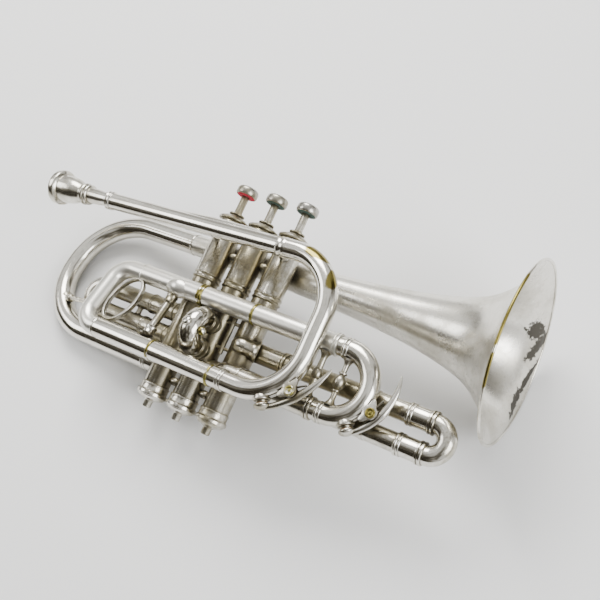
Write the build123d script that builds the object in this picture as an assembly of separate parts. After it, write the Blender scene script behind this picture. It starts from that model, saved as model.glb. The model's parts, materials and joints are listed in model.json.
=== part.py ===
from build123d import *
from math import cos, radians, sin
import os

# A three-valve cornet lying on its left side.
#
# It is drawn in its own playing frame, in millimetres: X runs forward to the bell, Y runs up to the
# finger buttons, Z runs towards the leadpipe side. X = 0 and Z = 0 are the axis of the middle valve,
# and Y = 0 is at the tips of the bottom caps. Y, Z below are always places in that frame.
# At the end every piece is laid down by one rigid turn, so that the row frame has Z up from the table.

# ---- how it lies -------------------------------------------------------------------------------
LYING_ROLL = 14.07          # degrees about X: where it balances on the bell's rim and the rear crook
LYING_PITCH = -8.23         # degrees about Y: the wide bell lifts the front end

# ---- valves ------------------------------------------------------------------------------------
VALVE_PITCH = 25.5
VALVE_X = [-VALVE_PITCH, 0.0, VALVE_PITCH]
VALVE_STROKE = 14.0
CASING_RADIUS = 9.25
CASING_TOP_RADIUS = 9.75
CASING_BORE = 8.55
CASING_Y = (12.0, 99.0, 141.0)      # bottom, step to the wider top half, top
PISTON_RADIUS = 8.5
PISTON_WALL = 0.8
PISTON_Y = (23.5, 89.0, 132.0)      # bottom, foot of the spring barrel, top of the barrel
BARREL_WALL = 0.8
GUIDE_Y = 100.0
GUIDE_SIZE = (3.4, 2.0)             # width across and height of the bar the spring stands on
STEM_RADIUS = 2.8
CAP_TOP_Y = 148.0
FELT_Y = 162.0
FELT_THICK = 1.6
FELT_RADIUS = 6.6
BUTTON_RADIUS = 7.8
BUTTON_HEIGHT = 5.2
SPRING_RADIUS = 5.9
SPRING_WIRE = 0.5

# ---- tubing ------------------------------------------------------------------------------------
SLEEVE_RADIUS = 6.7
SLEEVE_BORE = 6.25
SLIDE_RADIUS = 6.2
SLIDE_BORE = 5.8
PORT_RADIUS = 5.6
RING_STEP = 0.6                     # how far a ferrule ring stands off its tube

FRONT_Z = 30.0                      # layer of the leadpipe, front bow and lower tube
MIDDLE_Z = 16.0                     # layer of the main tuning slide
THIRD_Z = 2.0                       # layer of the third valve slide

LOWER_TUBE_Y = 35.4
LOWER_TUBE_X = (-69.6, 39.7)
LOWER_TUBE_RADIUS = 6.75
LOWER_TUBE_BORE = 6.25
LEADPIPE_END = (41.5, 128.0, FRONT_Z)
LEADPIPE_START = (-111.0, 122.0, FRONT_Z)
FRONT_BOW_X = 83.5
FRONT_BOW_BEND = 34.0
FRONT_BOW_RADIUS = 6.5
FRONT_BOW_BORE = 6.0

UPPER_SLEEVE_Y = 83.2
UPPER_SLEEVE_X = (-64.0, 96.0)
TUNING_LOWER_Y = 41.2
TUNING_BOW_X = 103.5
TUNING_LEG_X = 60.0
BOW_RADIUS = 6.4
BOW_BORE = 5.8

THIRD_Y = (61.9, 42.8)
THIRD_SLEEVE_X = 61.0
THIRD_LEG_X = 36.0
THIRD_JACKET_X = (148.0, 166.0)
SECOND_Y = (68.0, 50.0)
SECOND_SLEEVE_Z = 18.0
SECOND_BOW_Z = 19.4
SECOND_BOW_RADIUS = 7.9            # the second slide's bow is blown out fat
FIRST_Y = (67.5, 50.5)
FIRST_SLEEVE_X = -58.0
FIRST_BOW_X = -102.5

# ---- bell --------------------------------------------------------------------------------------
BELL_Y = 122.3
BELL_Z = -20.8
BELL_STEM_X = -60.0
BELL_WALL = 0.7
RIM_RADIUS = 60.0
RIM_WIRE = 1.3
# distance along X and outer radius, from the stem to the rim
BELL_PROFILE = [(-60.0, 7.7), (10.0, 9.3), (70.0, 12.5), (115.0, 17.0), (145.0, 22.6),
                (165.0, 29.6), (180.0, 41.5), (189.4, 58.7)]
CROOK_X = -150.0
CROOK_Y = 30.5
CROOK_Z = -3.0
CROOK_BEND = 45.0
CROOK_RADIUS = 7.7
CROOK_BORE = 7.0

# ---- mouthpiece --------------------------------------------------------------------------------
RECEIVER_LENGTH = 27.0
SHANK_RADIUS = 4.3
SHANK_DEPTH = 20.0
MOUTHPIECE_LENGTH = 49.0            # what shows outside the receiver
CUP_RIM_RADIUS = 13.0
CUP_BORE_RADIUS = 8.4

# ---- water keys --------------------------------------------------------------------------------
KEY_WIDTH = 5.0
KEY_PIVOT_RISE = 3.4                # pivot above the tube's surface
NIPPLE_RISE = 2.4
NIPPLE_RADIUS = 3.6
CORK_THICK = 1.6
PIN_RADIUS = 1.0
SCREW_HEAD_RADIUS = 3.2
CUP_RADIUS = 5.2


# ---- drawing helpers ---------------------------------------------------------------------------
def facing(origin, axis):
    return Plane(origin=origin, z_dir=Vector(*axis))


def rod(start, end, radius):
    """A solid round bar between two points."""
    run = Vector(*end) - Vector(*start)
    bar = Cylinder(radius, run.length, align=(Align.CENTER, Align.CENTER, Align.MIN))
    return facing(start, run) * bar


def pipe(start, end, outer, bore):
    """A straight round tube between two points."""
    return rod(start, end, outer) - rod(start, end, bore)


def bent(points, bends, outer, bore=None):
    """A tube, or a bar when it has no bore, along straight runs joined by round bends."""
    route = FilletPolyline(*points, radius=bends)
    section = Circle(outer) - Circle(bore) if bore else Circle(outer)
    return sweep(Plane(origin=route @ 0, z_dir=route % 0) * section, path=route)


def turned(origin, axis, outline):
    """A lathe shape: outline is a list of (distance along the axis, radius)."""
    face = make_face(Plane.XZ * Polyline([(radius, along) for along, radius in outline], close=True))
    return facing(origin, axis) * revolve(face, Axis.Z)


def ring(centre, axis, bore, width=2.4, step=RING_STEP):
    """A ferrule band round a tube, with both edges chamfered."""
    edge = step * 0.6
    half = width / 2
    return turned(centre, axis, [
        (-half, bore), (-half, bore + step - edge), (-half + edge, bore + step),
        (half - edge, bore + step), (half, bore + step - edge), (half, bore)])


def foot(point, axis, radius, height):
    """A small flared foot that spreads a stay's solder joint."""
    return turned(point, axis, [(0, 0), (0, radius), (height * 0.3, radius * 0.9),
                                (height, radius * 0.45), (height, 0)])


def valve_point(number, y, direction=(0, 0, 0), reach=0.0):
    """A point at height y on a valve's axis, moved out along a direction."""
    return (VALVE_X[number] + direction[0] * reach, y + direction[1] * reach, direction[2] * reach)


def casing_core(number, radius=CASING_RADIUS):
    return rod(valve_point(number, 0), valve_point(number, CASING_Y[2]), radius)


# Where tubes enter each casing: direction out of the casing, and height.
PORTS = [
    [((1, 0, 0), TUNING_LOWER_Y), ((-1, 0, 0), CROOK_Y), ((-1, 0, 0), FIRST_Y[0]), ((-1, 0, 0), FIRST_Y[1])],
    [((1, 0, 0), TUNING_LOWER_Y), ((-1, 0, 0), TUNING_LOWER_Y), ((0, 0, 1), SECOND_Y[0]),
     ((0, 0, 1), SECOND_Y[1])],
    [((0, 0, 1), TUNING_LOWER_Y), ((-1, 0, 0), TUNING_LOWER_Y), ((1, 0, 0), THIRD_Y[0]),
     ((1, 0, 0), THIRD_Y[1])],
]


# ---- valves ------------------------------------------------------------------------------------
def valve_casing(number):
    bottom, step, top = CASING_Y
    band = CASING_TOP_RADIUS + 0.7
    body = turned(valve_point(number, 0), (0, 1, 0), [
        (bottom, CASING_BORE), (bottom, CASING_RADIUS), (step - 3.5, CASING_RADIUS),
        (step - 3.5, band), (step - 2.0, band), (step - 2.0, CASING_TOP_RADIUS),
        (step, CASING_TOP_RADIUS), (step, band), (step + 1.5, band), (step + 1.5, CASING_TOP_RADIUS),
        (top, CASING_TOP_RADIUS), (top, CASING_BORE)])
    for direction, y in PORTS[number]:
        body -= rod(valve_point(number, y), valve_point(number, y, direction, 12), PORT_RADIUS)
    return body


def top_cap(number):
    y = CASING_Y[2]
    hole = STEM_RADIUS + 0.05
    return turned(valve_point(number, 0), (0, 1, 0), [
        (y, hole), (y, 9.9), (y + 0.5, 10.5), (y + 1.6, 10.5), (y + 2.2, 9.8), (y + 4.4, 6.3),
        (y + 5.0, 5.9), (CAP_TOP_Y - 0.5, 5.9), (CAP_TOP_Y, 5.4), (CAP_TOP_Y, hole)])


def bottom_cap(number):
    bottom = CASING_Y[0]
    return turned(valve_point(number, 0), (0, 1, 0), [
        (0, 0), (0, 2.0), (0.6, 2.7), (4.4, 2.7), (5.2, 3.6), (6.4, 8.4), (7.6, 9.6), (8.4, 10.0),
        (8.4, 10.8), (11.4, 10.8), (11.4, 10.1), (bottom + 4.5, 10.1), (bottom + 4.5, CASING_RADIUS),
        (bottom, CASING_RADIUS), (bottom, CASING_BORE), (8.0, CASING_BORE), (7.4, 6.0), (6.6, 0)])


def passage(points, radius):
    """A run of straight bores with round elbows."""
    path = rod(points[0], points[1], radius)
    for start, end in zip(points[1:], points[2:]):
        path += rod(start, end, radius) + Pos(*start) * Sphere(radius)
    return path


def piston_passages(number, radius):
    """The open way through a raised piston, and the two ways that line up when it is pressed."""
    reach = PISTON_RADIUS + 1
    sides = PORTS[number][:2]
    through = [valve_point(number, y, direction, reach) for direction, y in sides]
    middle = valve_point(number, (sides[0][1] + sides[1][1]) / 2)
    ways = passage([through[0], middle, through[1]], radius)
    for direction, y in PORTS[number][2:]:
        lifted = y + VALVE_STROKE
        far = tuple(-part for part in direction)
        ways += rod(valve_point(number, lifted, far, reach), valve_point(number, lifted, direction, reach), radius)
    return ways


def piston(number):
    bottom, shoulder, top = PISTON_Y
    core = rod(valve_point(number, bottom), valve_point(number, shoulder), PISTON_RADIUS - PISTON_WALL)
    body = rod(valve_point(number, bottom), valve_point(number, shoulder), PISTON_RADIUS) - core
    body += piston_passages(number, PORT_RADIUS + 0.5) & core
    body -= piston_passages(number, PORT_RADIUS)
    barrel = PISTON_RADIUS - 0.3
    body += turned(valve_point(number, 0), (0, 1, 0), [
        (shoulder - 1, 0), (shoulder - 1, PISTON_RADIUS), (shoulder, PISTON_RADIUS), (shoulder, barrel),
        (top, barrel), (top, 0), (top - 3, 0), (top - 3, barrel - BARREL_WALL),
        (shoulder + 0.2, barrel - BARREL_WALL), (shoulder + 0.2, 0)])
    slot_low = GUIDE_Y - 0.3
    slot_high = GUIDE_Y + GUIDE_SIZE[1] + VALVE_STROKE + 0.3
    slot = Box(2 * PISTON_RADIUS + 2, slot_high - slot_low, GUIDE_SIZE[0] + 0.2)
    return body - Pos(VALVE_X[number], (slot_low + slot_high) / 2, 0) * slot


def valve_guide(number):
    """The bar across the casing that keys the piston and carries its spring."""
    bar = Box(2 * CASING_TOP_RADIUS, GUIDE_SIZE[1], GUIDE_SIZE[0])
    bar = Pos(VALVE_X[number], GUIDE_Y + GUIDE_SIZE[1] / 2, 0) * bar
    return bar & casing_core(number, CASING_BORE)


def valve_stem(number):
    return rod(valve_point(number, PISTON_Y[2]), valve_point(number, FELT_Y + FELT_THICK + 2), STEM_RADIUS)


def finger_button(number):
    y = FELT_Y + FELT_THICK
    r = BUTTON_RADIUS
    top = y + BUTTON_HEIGHT
    return turned(valve_point(number, 0), (0, 1, 0), [
        (y, STEM_RADIUS), (y, FELT_RADIUS + 0.1), (FELT_Y + 0.4, FELT_RADIUS + 0.1), (FELT_Y + 0.4, r - 0.5),
        (FELT_Y + 1.2, r), (top - 1.2, r - 0.2), (top - 0.3, r - 1.0), (top, r - 2.4), (top, 0),
        (y + 2.0, 0), (y + 2.0, STEM_RADIUS)])


def button_felt(number):
    return pipe(valve_point(number, FELT_Y), valve_point(number, FELT_Y + FELT_THICK), FELT_RADIUS,
                STEM_RADIUS)


def valve_spring(number):
    low = GUIDE_Y + GUIDE_SIZE[1] + SPRING_WIRE + 0.05
    high = PISTON_Y[2] - 3 - SPRING_WIRE - 0.05
    turns = 6
    coil = Helix((high - low) / turns, high - low, SPRING_RADIUS, center=valve_point(number, low),
                 direction=(0, 1, 0))
    return sweep(Plane(origin=coil @ 0, z_dir=coil % 0) * Circle(SPRING_WIRE), path=coil, is_frenet=True)


def valve_spacers():
    """Cross-over tubes, ball spacers and upright bars soldered between neighbouring casings."""
    spacers = []
    for left in (0, 1):
        middle_x = (VALVE_X[left] + VALVE_X[left + 1]) / 2
        cores = casing_core(left) + casing_core(left + 1)
        half = VALVE_PITCH / 2
        low, high = middle_x - half, middle_x + half
        spacers.append(pipe((low, TUNING_LOWER_Y, 0), (high, TUNING_LOWER_Y, 0), PORT_RADIUS + 0.5,
                            PORT_RADIUS) - cores)
        ball = turned((low, 23.5, 0), (1, 0, 0), [(0, 0), (0, 1.8), (half - 2.6, 1.8), (half - 1.6, 2.9),
                                                  (half + 1.6, 2.9), (half + 2.6, 1.8), (2 * half, 1.8), (2 * half, 0)])
        spacers.append(ball - cores)
        bar = rod((middle_x, 52, 4.5), (middle_x, 78, 4.5), 1.5)
        for y in (56, 74):
            bar += rod((low, y, 4.5), (high, y, 4.5), 1.2)
        spacers.append(bar - cores)
        upper = casing_core(left, CASING_TOP_RADIUS) + casing_core(left + 1, CASING_TOP_RADIUS)
        spacers.append(rod((low, 118, 0), (high, 118, 0), 1.8) - upper)
    return spacers


# ---- fixed tubing ------------------------------------------------------------------------------
def receiver():
    run = (Vector(*LEADPIPE_END) - Vector(*LEADPIPE_START)).normalized()
    return turned(LEADPIPE_START, run, [
        (0, SHANK_RADIUS + 0.05), (0, 5.6), (0.6, 6.2), (2.4, 6.2), (3.0, 5.5),
        (RECEIVER_LENGTH - 3, 5.4), (RECEIVER_LENGTH - 2.6, 5.9), (RECEIVER_LENGTH - 0.4, 5.9),
        (RECEIVER_LENGTH, 5.5), (RECEIVER_LENGTH, 3.9), (SHANK_DEPTH + 1, 3.9),
        (SHANK_DEPTH + 1, SHANK_RADIUS + 0.05)])


def leadpipe():
    run = Vector(*LEADPIPE_END) - Vector(*LEADPIPE_START)
    length = run.length
    return turned(LEADPIPE_START, run, [
        (RECEIVER_LENGTH, 3.9), (RECEIVER_LENGTH, 4.9), (RECEIVER_LENGTH + 40, 5.3), (length - 6, 6.2),
        (length - 6, 6.8), (length, 6.8), (length, FRONT_BOW_BORE - 0.4), (RECEIVER_LENGTH + 40, 4.5)])


def front_bow():
    low = (LOWER_TUBE_X[1], LOWER_TUBE_Y, FRONT_Z)
    slope = (LEADPIPE_END[1] - LEADPIPE_START[1]) / (LEADPIPE_END[0] - LEADPIPE_START[0])
    top_y = LEADPIPE_END[1] + (FRONT_BOW_X - LEADPIPE_END[0]) * slope
    tube = bent([LEADPIPE_END, (FRONT_BOW_X, top_y, FRONT_Z), (FRONT_BOW_X, LOWER_TUBE_Y, FRONT_Z), low],
                FRONT_BOW_BEND, FRONT_BOW_RADIUS, FRONT_BOW_BORE)
    return tube


def lower_tube():
    left, right = LOWER_TUBE_X
    tube = pipe((left, LOWER_TUBE_Y, FRONT_Z), (right, LOWER_TUBE_Y, FRONT_Z), LOWER_TUBE_RADIUS, LOWER_TUBE_BORE)
    for x in (-19.0, 29.6):
        tube += ring((x, LOWER_TUBE_Y, FRONT_Z), (1, 0, 0), LOWER_TUBE_RADIUS, 1.8)
    for x in (left + 1.5, right - 1.5):
        tube += ring((x, LOWER_TUBE_Y, FRONT_Z), (1, 0, 0), LOWER_TUBE_RADIUS, 3.0, 0.35)
    return tube


def rear_bow():
    top = (UPPER_SLEEVE_X[0], UPPER_SLEEVE_Y, MIDDLE_Z)
    low = (LOWER_TUBE_X[0], LOWER_TUBE_Y, FRONT_Z)
    return bent([top, (-84.0, UPPER_SLEEVE_Y, MIDDLE_Z), (-84.0, LOWER_TUBE_Y, FRONT_Z), low],
                12.5, BOW_RADIUS, BOW_BORE)


def upper_sleeve():
    left, right = UPPER_SLEEVE_X
    tube = pipe((left, UPPER_SLEEVE_Y, MIDDLE_Z), (right, UPPER_SLEEVE_Y, MIDDLE_Z), SLEEVE_RADIUS, SLEEVE_BORE)
    for x, width in ((-10.5, 3.0), (32.5, 2.4), (right - 1.5, 3.0)):
        tube += ring((x, UPPER_SLEEVE_Y, MIDDLE_Z), (1, 0, 0), SLEEVE_RADIUS, width)
    return tube


ELBOW_BEND = 7.2


def elbow_route():
    x = VALVE_X[2]
    return [(UPPER_SLEEVE_X[1], TUNING_LOWER_Y, MIDDLE_Z), (x, TUNING_LOWER_Y, MIDDLE_Z), (x, TUNING_LOWER_Y, 4.0)]


def tuning_lower_sleeve():
    tube = bent(elbow_route(), ELBOW_BEND, SLEEVE_RADIUS, SLEEVE_BORE)
    tube += ring((UPPER_SLEEVE_X[1] - 1.5, TUNING_LOWER_Y, MIDDLE_Z), (1, 0, 0), SLEEVE_RADIUS, 3.0)
    return tube - casing_core(2)


def tuning_sleeve_stay():
    x = UPPER_SLEEVE_X[1] - 7.0
    top = (x, UPPER_SLEEVE_Y - SLEEVE_RADIUS, MIDDLE_Z)
    low = (x, TUNING_LOWER_Y + SLEEVE_RADIUS, MIDDLE_Z)
    stay = rod(top, low, 1.9) + foot(top, (0, -1, 0), 4.4, 5.5) + foot(low, (0, 1, 0), 4.4, 5.5)
    stay += Pos(x, (UPPER_SLEEVE_Y + TUNING_LOWER_Y) / 2, MIDDLE_Z) * Sphere(3.4)
    for y in (UPPER_SLEEVE_Y, TUNING_LOWER_Y):
        stay -= rod((x - 8, y, MIDDLE_Z), (x + 8, y, MIDDLE_Z), SLEEVE_RADIUS)
    return stay


def slide_sleeves(number, ys, direction, length_end):
    """The pair of fixed outer tubes that a valve's slide runs in."""
    tubes = []
    z = THIRD_Z if number == 2 else 0.0
    core = casing_core(number)
    for y in ys:
        start = (VALVE_X[number], y, z)
        if direction[2]:
            end = (VALVE_X[number], y, length_end)
            band = (VALVE_X[number], y, length_end - 1.2)
        else:
            end = (length_end, y, z)
            band = (length_end - direction[0] * 1.2, y, z)
        tubes.append((pipe(start, end, SLEEVE_RADIUS, SLEEVE_BORE) + ring(band, direction, SLEEVE_RADIUS)) - core)
    return tubes


def third_sleeves():
    tubes = slide_sleeves(2, THIRD_Y, (1, 0, 0), THIRD_SLEEVE_X)
    tubes[1] -= bent(elbow_route(), ELBOW_BEND, SLEEVE_RADIUS + 0.05)
    y = THIRD_Y[0]
    collar = (38.5, y, 6.0)
    knuckle = bent([(VALVE_X[2], y, 3.0), (VALVE_X[2], y, 13.0), collar], 4.0, 5.6)
    lean = Vector(*collar) - Vector(VALVE_X[2], y, 13.0)
    knuckle += facing(collar, lean) * Cylinder(7.4, 2.0)
    sleeve = rod((VALVE_X[2], y, THIRD_Z), (THIRD_SLEEVE_X, y, THIRD_Z), SLEEVE_RADIUS)
    return [*tubes, knuckle - sleeve - casing_core(2)]


# ---- bell --------------------------------------------------------------------------------------
def rim_wire():
    return facing((BELL_PROFILE[-1][0], BELL_Y, BELL_Z), (1, 0, 0)) * Torus(RIM_RADIUS - RIM_WIRE, RIM_WIRE)


def bell():
    outer = Spline([(r, x) for x, r in BELL_PROFILE], tangents=((0.0, 1.0), (1.0, 0.3)))
    inner = Spline([(r - BELL_WALL, x) for x, r in BELL_PROFILE], tangents=((0.0, 1.0), (1.0, 0.3)))
    ends = [Line(outer @ 0, inner @ 0), Line(outer @ 1, inner @ 1)]
    face = make_face([Plane.XZ * edge for edge in (outer, inner, *ends)])
    solid = facing((0, BELL_Y, BELL_Z), (1, 0, 0)) * revolve(face, Axis.Z)
    return solid - rim_wire()


def crook_route():
    return [(BELL_STEM_X, BELL_Y, BELL_Z), (CROOK_X, BELL_Y, BELL_Z), (CROOK_X, CROOK_Y, CROOK_Z),
            (VALVE_X[0], CROOK_Y, CROOK_Z)]


def bell_crook():
    tube = bent(crook_route(), CROOK_BEND, CROOK_RADIUS, CROOK_BORE)
    tube += ring((BELL_STEM_X - 2, BELL_Y, BELL_Z), (1, 0, 0), CROOK_RADIUS, 3.0, 0.4)
    tube += ring((-42.0, CROOK_Y, CROOK_Z), (1, 0, 0), CROOK_RADIUS, 2.4, 0.5)
    return tube - casing_core(0)


def leadpipe_stays():
    """A plate at the third valve and a post at the first hold the leadpipe to the casings."""
    run = Vector(*LEADPIPE_END) - Vector(*LEADPIPE_START)
    pipe_core = turned(LEADPIPE_START, run, [
        (RECEIVER_LENGTH, 0), (RECEIVER_LENGTH, 4.9), (RECEIVER_LENGTH + 40, 5.3), (run.length - 6, 6.2),
        (run.length - 6, 6.8), (run.length, 6.8), (run.length, 0)])
    stays = []
    for number, shift in ((0, 0.0), (2, 3.0)):
        core = casing_core(number, CASING_TOP_RADIUS)
        x = VALVE_X[number] + shift
        y = LEADPIPE_START[1] + (x - LEADPIPE_START[0]) * run.Y / run.X
        post = rod((x, y, 0), (x, y, FRONT_Z), 2.2)
        post += foot((x, y, CASING_TOP_RADIUS - 0.8), (0, 0, 1), 4.2, 4.0)
        post += foot((x, y, FRONT_Z - 5.2), (0, 0, -1), 4.2, 3.6)
        stays.append(post - core - pipe_core)
    return stays


def bell_stays():
    """Saddles that tie the bell to the outer valves, and the long stay across the rear crook."""
    stays = []
    for number in (0, 2):
        radius = 8.5 + 0.02 * (VALVE_X[number] + 60)
        stem = facing((VALVE_X[number], BELL_Y, BELL_Z), (1, 0, 0)) * Cylinder(radius + 0.35, 20)
        saddle = rod(valve_point(number, 122, (0, 0, -1), 5), valve_point(number, 122, (0, 0, -1), 15), 4.5)
        stays.append(saddle - stem - casing_core(number, CASING_TOP_RADIUS))
    limb = (-84.0, 50.0, 25.7)
    crook = (-141.1, 48.6, -6.6)
    run = Vector(*crook) - Vector(*limb)
    far = run.length
    ball = far - 14.0
    long_stay = turned(limb, run, [
        (0, 0), (0, 4.5), (BOW_RADIUS + 0.6, 4.2), (BOW_RADIUS + 2.2, 2.6), (BOW_RADIUS + 4.0, 1.7),
        (ball - 3.0, 1.7), (ball - 2.0, 2.6), (ball, 3.1), (ball + 2.0, 2.6), (ball + 3.0, 1.7),
        (far - CROOK_RADIUS - 3.0, 2.2), (far - CROOK_RADIUS - 0.8, 4.2), (far - 2.0, 4.5), (far - 2.0, 0)])
    tubes = bent([(UPPER_SLEEVE_X[0], UPPER_SLEEVE_Y, MIDDLE_Z), (-84.0, UPPER_SLEEVE_Y, MIDDLE_Z),
                  (-84.0, LOWER_TUBE_Y, FRONT_Z), (LOWER_TUBE_X[0], LOWER_TUBE_Y, FRONT_Z)], 12.5, BOW_RADIUS)
    stays.append(long_stay - tubes - bent(crook_route(), CROOK_BEND, CROOK_RADIUS))
    return stays


# ---- hand fittings -----------------------------------------------------------------------------
RING_TOP = Vector(-62.0, 78.4, 17.6)
RING_LOW = Vector(-69.5, 42.4, 25.6)
RING_WIDTH = 22.0
RING_BAND = (1.8, 4.0)              # thickness of the band and its depth


def finger_ring():
    """A flat oval band soldered between the middle and lower tubes."""
    long_axis = RING_TOP - RING_LOW
    centre = (RING_TOP + RING_LOW) * 0.5
    normal = long_axis.cross(Vector(-1, 0, 0))
    plane = Plane(origin=centre, x_dir=long_axis, z_dir=normal)
    half = long_axis.length / 2
    band, depth = RING_BAND
    outline = Ellipse(half, RING_WIDTH / 2) - Ellipse(half - band, RING_WIDTH / 2 - band)
    solid = plane * Pos(0, 0, -depth / 2) * extrude(outline, depth)
    solid -= rod((-90, UPPER_SLEEVE_Y, MIDDLE_Z), (-40, UPPER_SLEEVE_Y, MIDDLE_Z), SLEEVE_RADIUS)
    return solid - rod((-90, LOWER_TUBE_Y, FRONT_Z), (-40, LOWER_TUBE_Y, FRONT_Z), LOWER_TUBE_RADIUS)


def loop_stay():
    """The straight post between the middle and lower tubes, with two collars."""
    top = Vector(-32.0, UPPER_SLEEVE_Y, MIDDLE_Z)
    low = Vector(-30.0, LOWER_TUBE_Y, FRONT_Z)
    run = (low - top).normalized()
    post = rod(top, low, 2.4)
    for share in (SLEEVE_RADIUS + 4.5, (low - top).length - LOWER_TUBE_RADIUS - 5.0):
        post += turned((top + run * share), run,
                       [(-3.0, 0), (-3.0, 3.5), (3.0, 3.5), (3.0, 0)])
    post += foot((top + run * (SLEEVE_RADIUS - 0.6)), run, 4.4, 3.2)
    post += foot((low - run * (LOWER_TUBE_RADIUS - 0.6)), (run * -1), 4.0, 3.2)
    tubes = rod((-60, UPPER_SLEEVE_Y, MIDDLE_Z), (0, UPPER_SLEEVE_Y, MIDDLE_Z), SLEEVE_RADIUS)
    tubes += rod((-60, LOWER_TUBE_Y, FRONT_Z), (0, LOWER_TUBE_Y, FRONT_Z), LOWER_TUBE_RADIUS)
    return post - tubes


# ---- slides ------------------------------------------------------------------------------------
def tuning_slide():
    top = (TUNING_LEG_X, UPPER_SLEEVE_Y, MIDDLE_Z)
    low = (TUNING_LEG_X, TUNING_LOWER_Y, MIDDLE_Z)
    radius = (UPPER_SLEEVE_Y - TUNING_LOWER_Y) / 2
    start_top, start_low = [(TUNING_BOW_X, y, MIDDLE_Z) for y in (UPPER_SLEEVE_Y, TUNING_LOWER_Y)]
    end = TUNING_BOW_X + radius + 0.01
    bow = bent([start_top, (end, UPPER_SLEEVE_Y, MIDDLE_Z), (end, TUNING_LOWER_Y, MIDDLE_Z), start_low],
               radius - 0.02, BOW_RADIUS, BOW_BORE)
    slide = bow + pipe(top, start_top, SLIDE_RADIUS, SLIDE_BORE) + pipe(low, start_low, SLIDE_RADIUS, SLIDE_BORE)
    for point in (start_top, start_low):
        slide += ring((point[0] - 1.5, point[1], point[2]), (1, 0, 0), SLIDE_RADIUS, 3.0, 1.0)
    return slide - key_drilling(TUNING_KEY)


def tuning_brace():
    x = TUNING_BOW_X + 1.5
    top = (x, UPPER_SLEEVE_Y - BOW_RADIUS, MIDDLE_Z)
    low = (x, TUNING_LOWER_Y + BOW_RADIUS, MIDDLE_Z)
    brace = rod(top, low, 1.9) + foot(top, (0, -1, 0), 4.2, 5.5) + foot(low, (0, 1, 0), 4.2, 5.5)
    brace += Pos(x, (UPPER_SLEEVE_Y + TUNING_LOWER_Y) / 2, MIDDLE_Z) * Sphere(4.0)
    for y in (UPPER_SLEEVE_Y, TUNING_LOWER_Y):
        brace -= rod((TUNING_BOW_X - 20, y, MIDDLE_Z), (TUNING_BOW_X, y, MIDDLE_Z), SLIDE_RADIUS + 1)
    return brace - bow_outside(TUNING_KEY)


def u_slide(start, bow_start, ys, out, along, bow_radius=SLIDE_RADIUS, collar=2.4):
    """A slide of two legs and a half-round bow. along is the unit axis it pulls out on."""
    gap = ys[0] - ys[1]
    axis = Vector(*along)

    def spot(distance, y):
        base = Vector(*out) + axis * distance
        return (base.X, y, base.Z)

    end = bow_start + gap / 2 + 0.01
    bow = bent([spot(bow_start, ys[0]), spot(end, ys[0]), spot(end, ys[1]), spot(bow_start, ys[1])],
               gap / 2 - 0.02, bow_radius, SLIDE_BORE)
    for y in ys:
        bow += pipe(spot(start, y), spot(bow_start, y), SLIDE_RADIUS, SLIDE_BORE)
        bow += ring(spot(bow_start - collar / 2, y), along, SLIDE_RADIUS, collar, 0.6)
    return bow


def first_slide():
    slide = u_slide(40.0, -FIRST_BOW_X, FIRST_Y, (0, 0, 0), (-1, 0, 0))
    stay = rod((-66, FIRST_Y[0] - SLIDE_RADIUS + 0.4, 0), (-66, FIRST_Y[1] + SLIDE_RADIUS - 0.4, 0), 2.0)
    bores = rod((-90, FIRST_Y[0], 0), (-40, FIRST_Y[0], 0), SLIDE_BORE)
    return slide + (stay - bores)


def second_slide():
    slide = u_slide(9.8, SECOND_BOW_Z, SECOND_Y, (0, 0, 0), (0, 0, 1), SECOND_BOW_RADIUS, 1.2)
    y = (SECOND_Y[0] + SECOND_Y[1]) / 2
    knob = turned((4.5, y, 27.0), (1, 0, 0.6), [(0, 0), (0, 1.6), (4.0, 1.6), (4.6, 2.4), (6.2, 2.8),
                                                 (7.6, 2.0), (8.0, 0)])
    return slide + (knob - u_slide_core())


def u_slide_core():
    """The solid outline of the second slide's bow, to seat its knob on."""
    gap = SECOND_Y[0] - SECOND_Y[1]
    end = SECOND_BOW_Z + gap / 2 + 0.01
    corners = [(SECOND_Y[0], SECOND_BOW_Z), (SECOND_Y[0], end), (SECOND_Y[1], end), (SECOND_Y[1], SECOND_BOW_Z)]
    return bent([(0, y, z) for y, z in corners], gap / 2 - 0.02, SECOND_BOW_RADIUS)


def third_slide():
    slide = u_slide(THIRD_LEG_X, THIRD_JACKET_X[1], THIRD_Y, (0, 0, THIRD_Z), (1, 0, 0))
    for y in THIRD_Y:
        slide += pipe((THIRD_JACKET_X[0], y, THIRD_Z), (THIRD_JACKET_X[1], y, THIRD_Z), SLEEVE_RADIUS, SLIDE_RADIUS)
        slide += ring((THIRD_JACKET_X[0] + 1.2, y, THIRD_Z), (1, 0, 0), SLEEVE_RADIUS)
        slide += ring((126.0, y, THIRD_Z), (1, 0, 0), SLIDE_RADIUS, 2.4, 0.5)
    return slide


# ---- mouthpiece --------------------------------------------------------------------------------
def mouthpiece():
    run = (Vector(*LEADPIPE_START) - Vector(*LEADPIPE_END)).normalized()
    length = MOUTHPIECE_LENGTH
    rim = CUP_RIM_RADIUS
    return turned(LEADPIPE_START, run, [
        (-SHANK_DEPTH, 2.2), (-SHANK_DEPTH, SHANK_RADIUS), (0.0, SHANK_RADIUS), (16.0, 5.0), (18.0, 5.2),
        (18.6, 6.6), (20.0, 6.9), (20.8, 6.2), (21.6, 7.2), (23.4, 7.4), (24.4, 6.6), (29.0, 8.2), (34.0, 9.8),
        (40.0, 10.9), (43.0, 11.6), (length - 4.6, 12.4), (length - 2.6, rim), (length - 0.8, rim - 0.3),
        (length, rim - 1.6), (length - 0.2, CUP_BORE_RADIUS + 1.2), (length - 1.4, CUP_BORE_RADIUS),
        (36.0, 6.9), (31.0, 4.0), (27.5, 1.9), (23.0, 1.9)])


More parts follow.
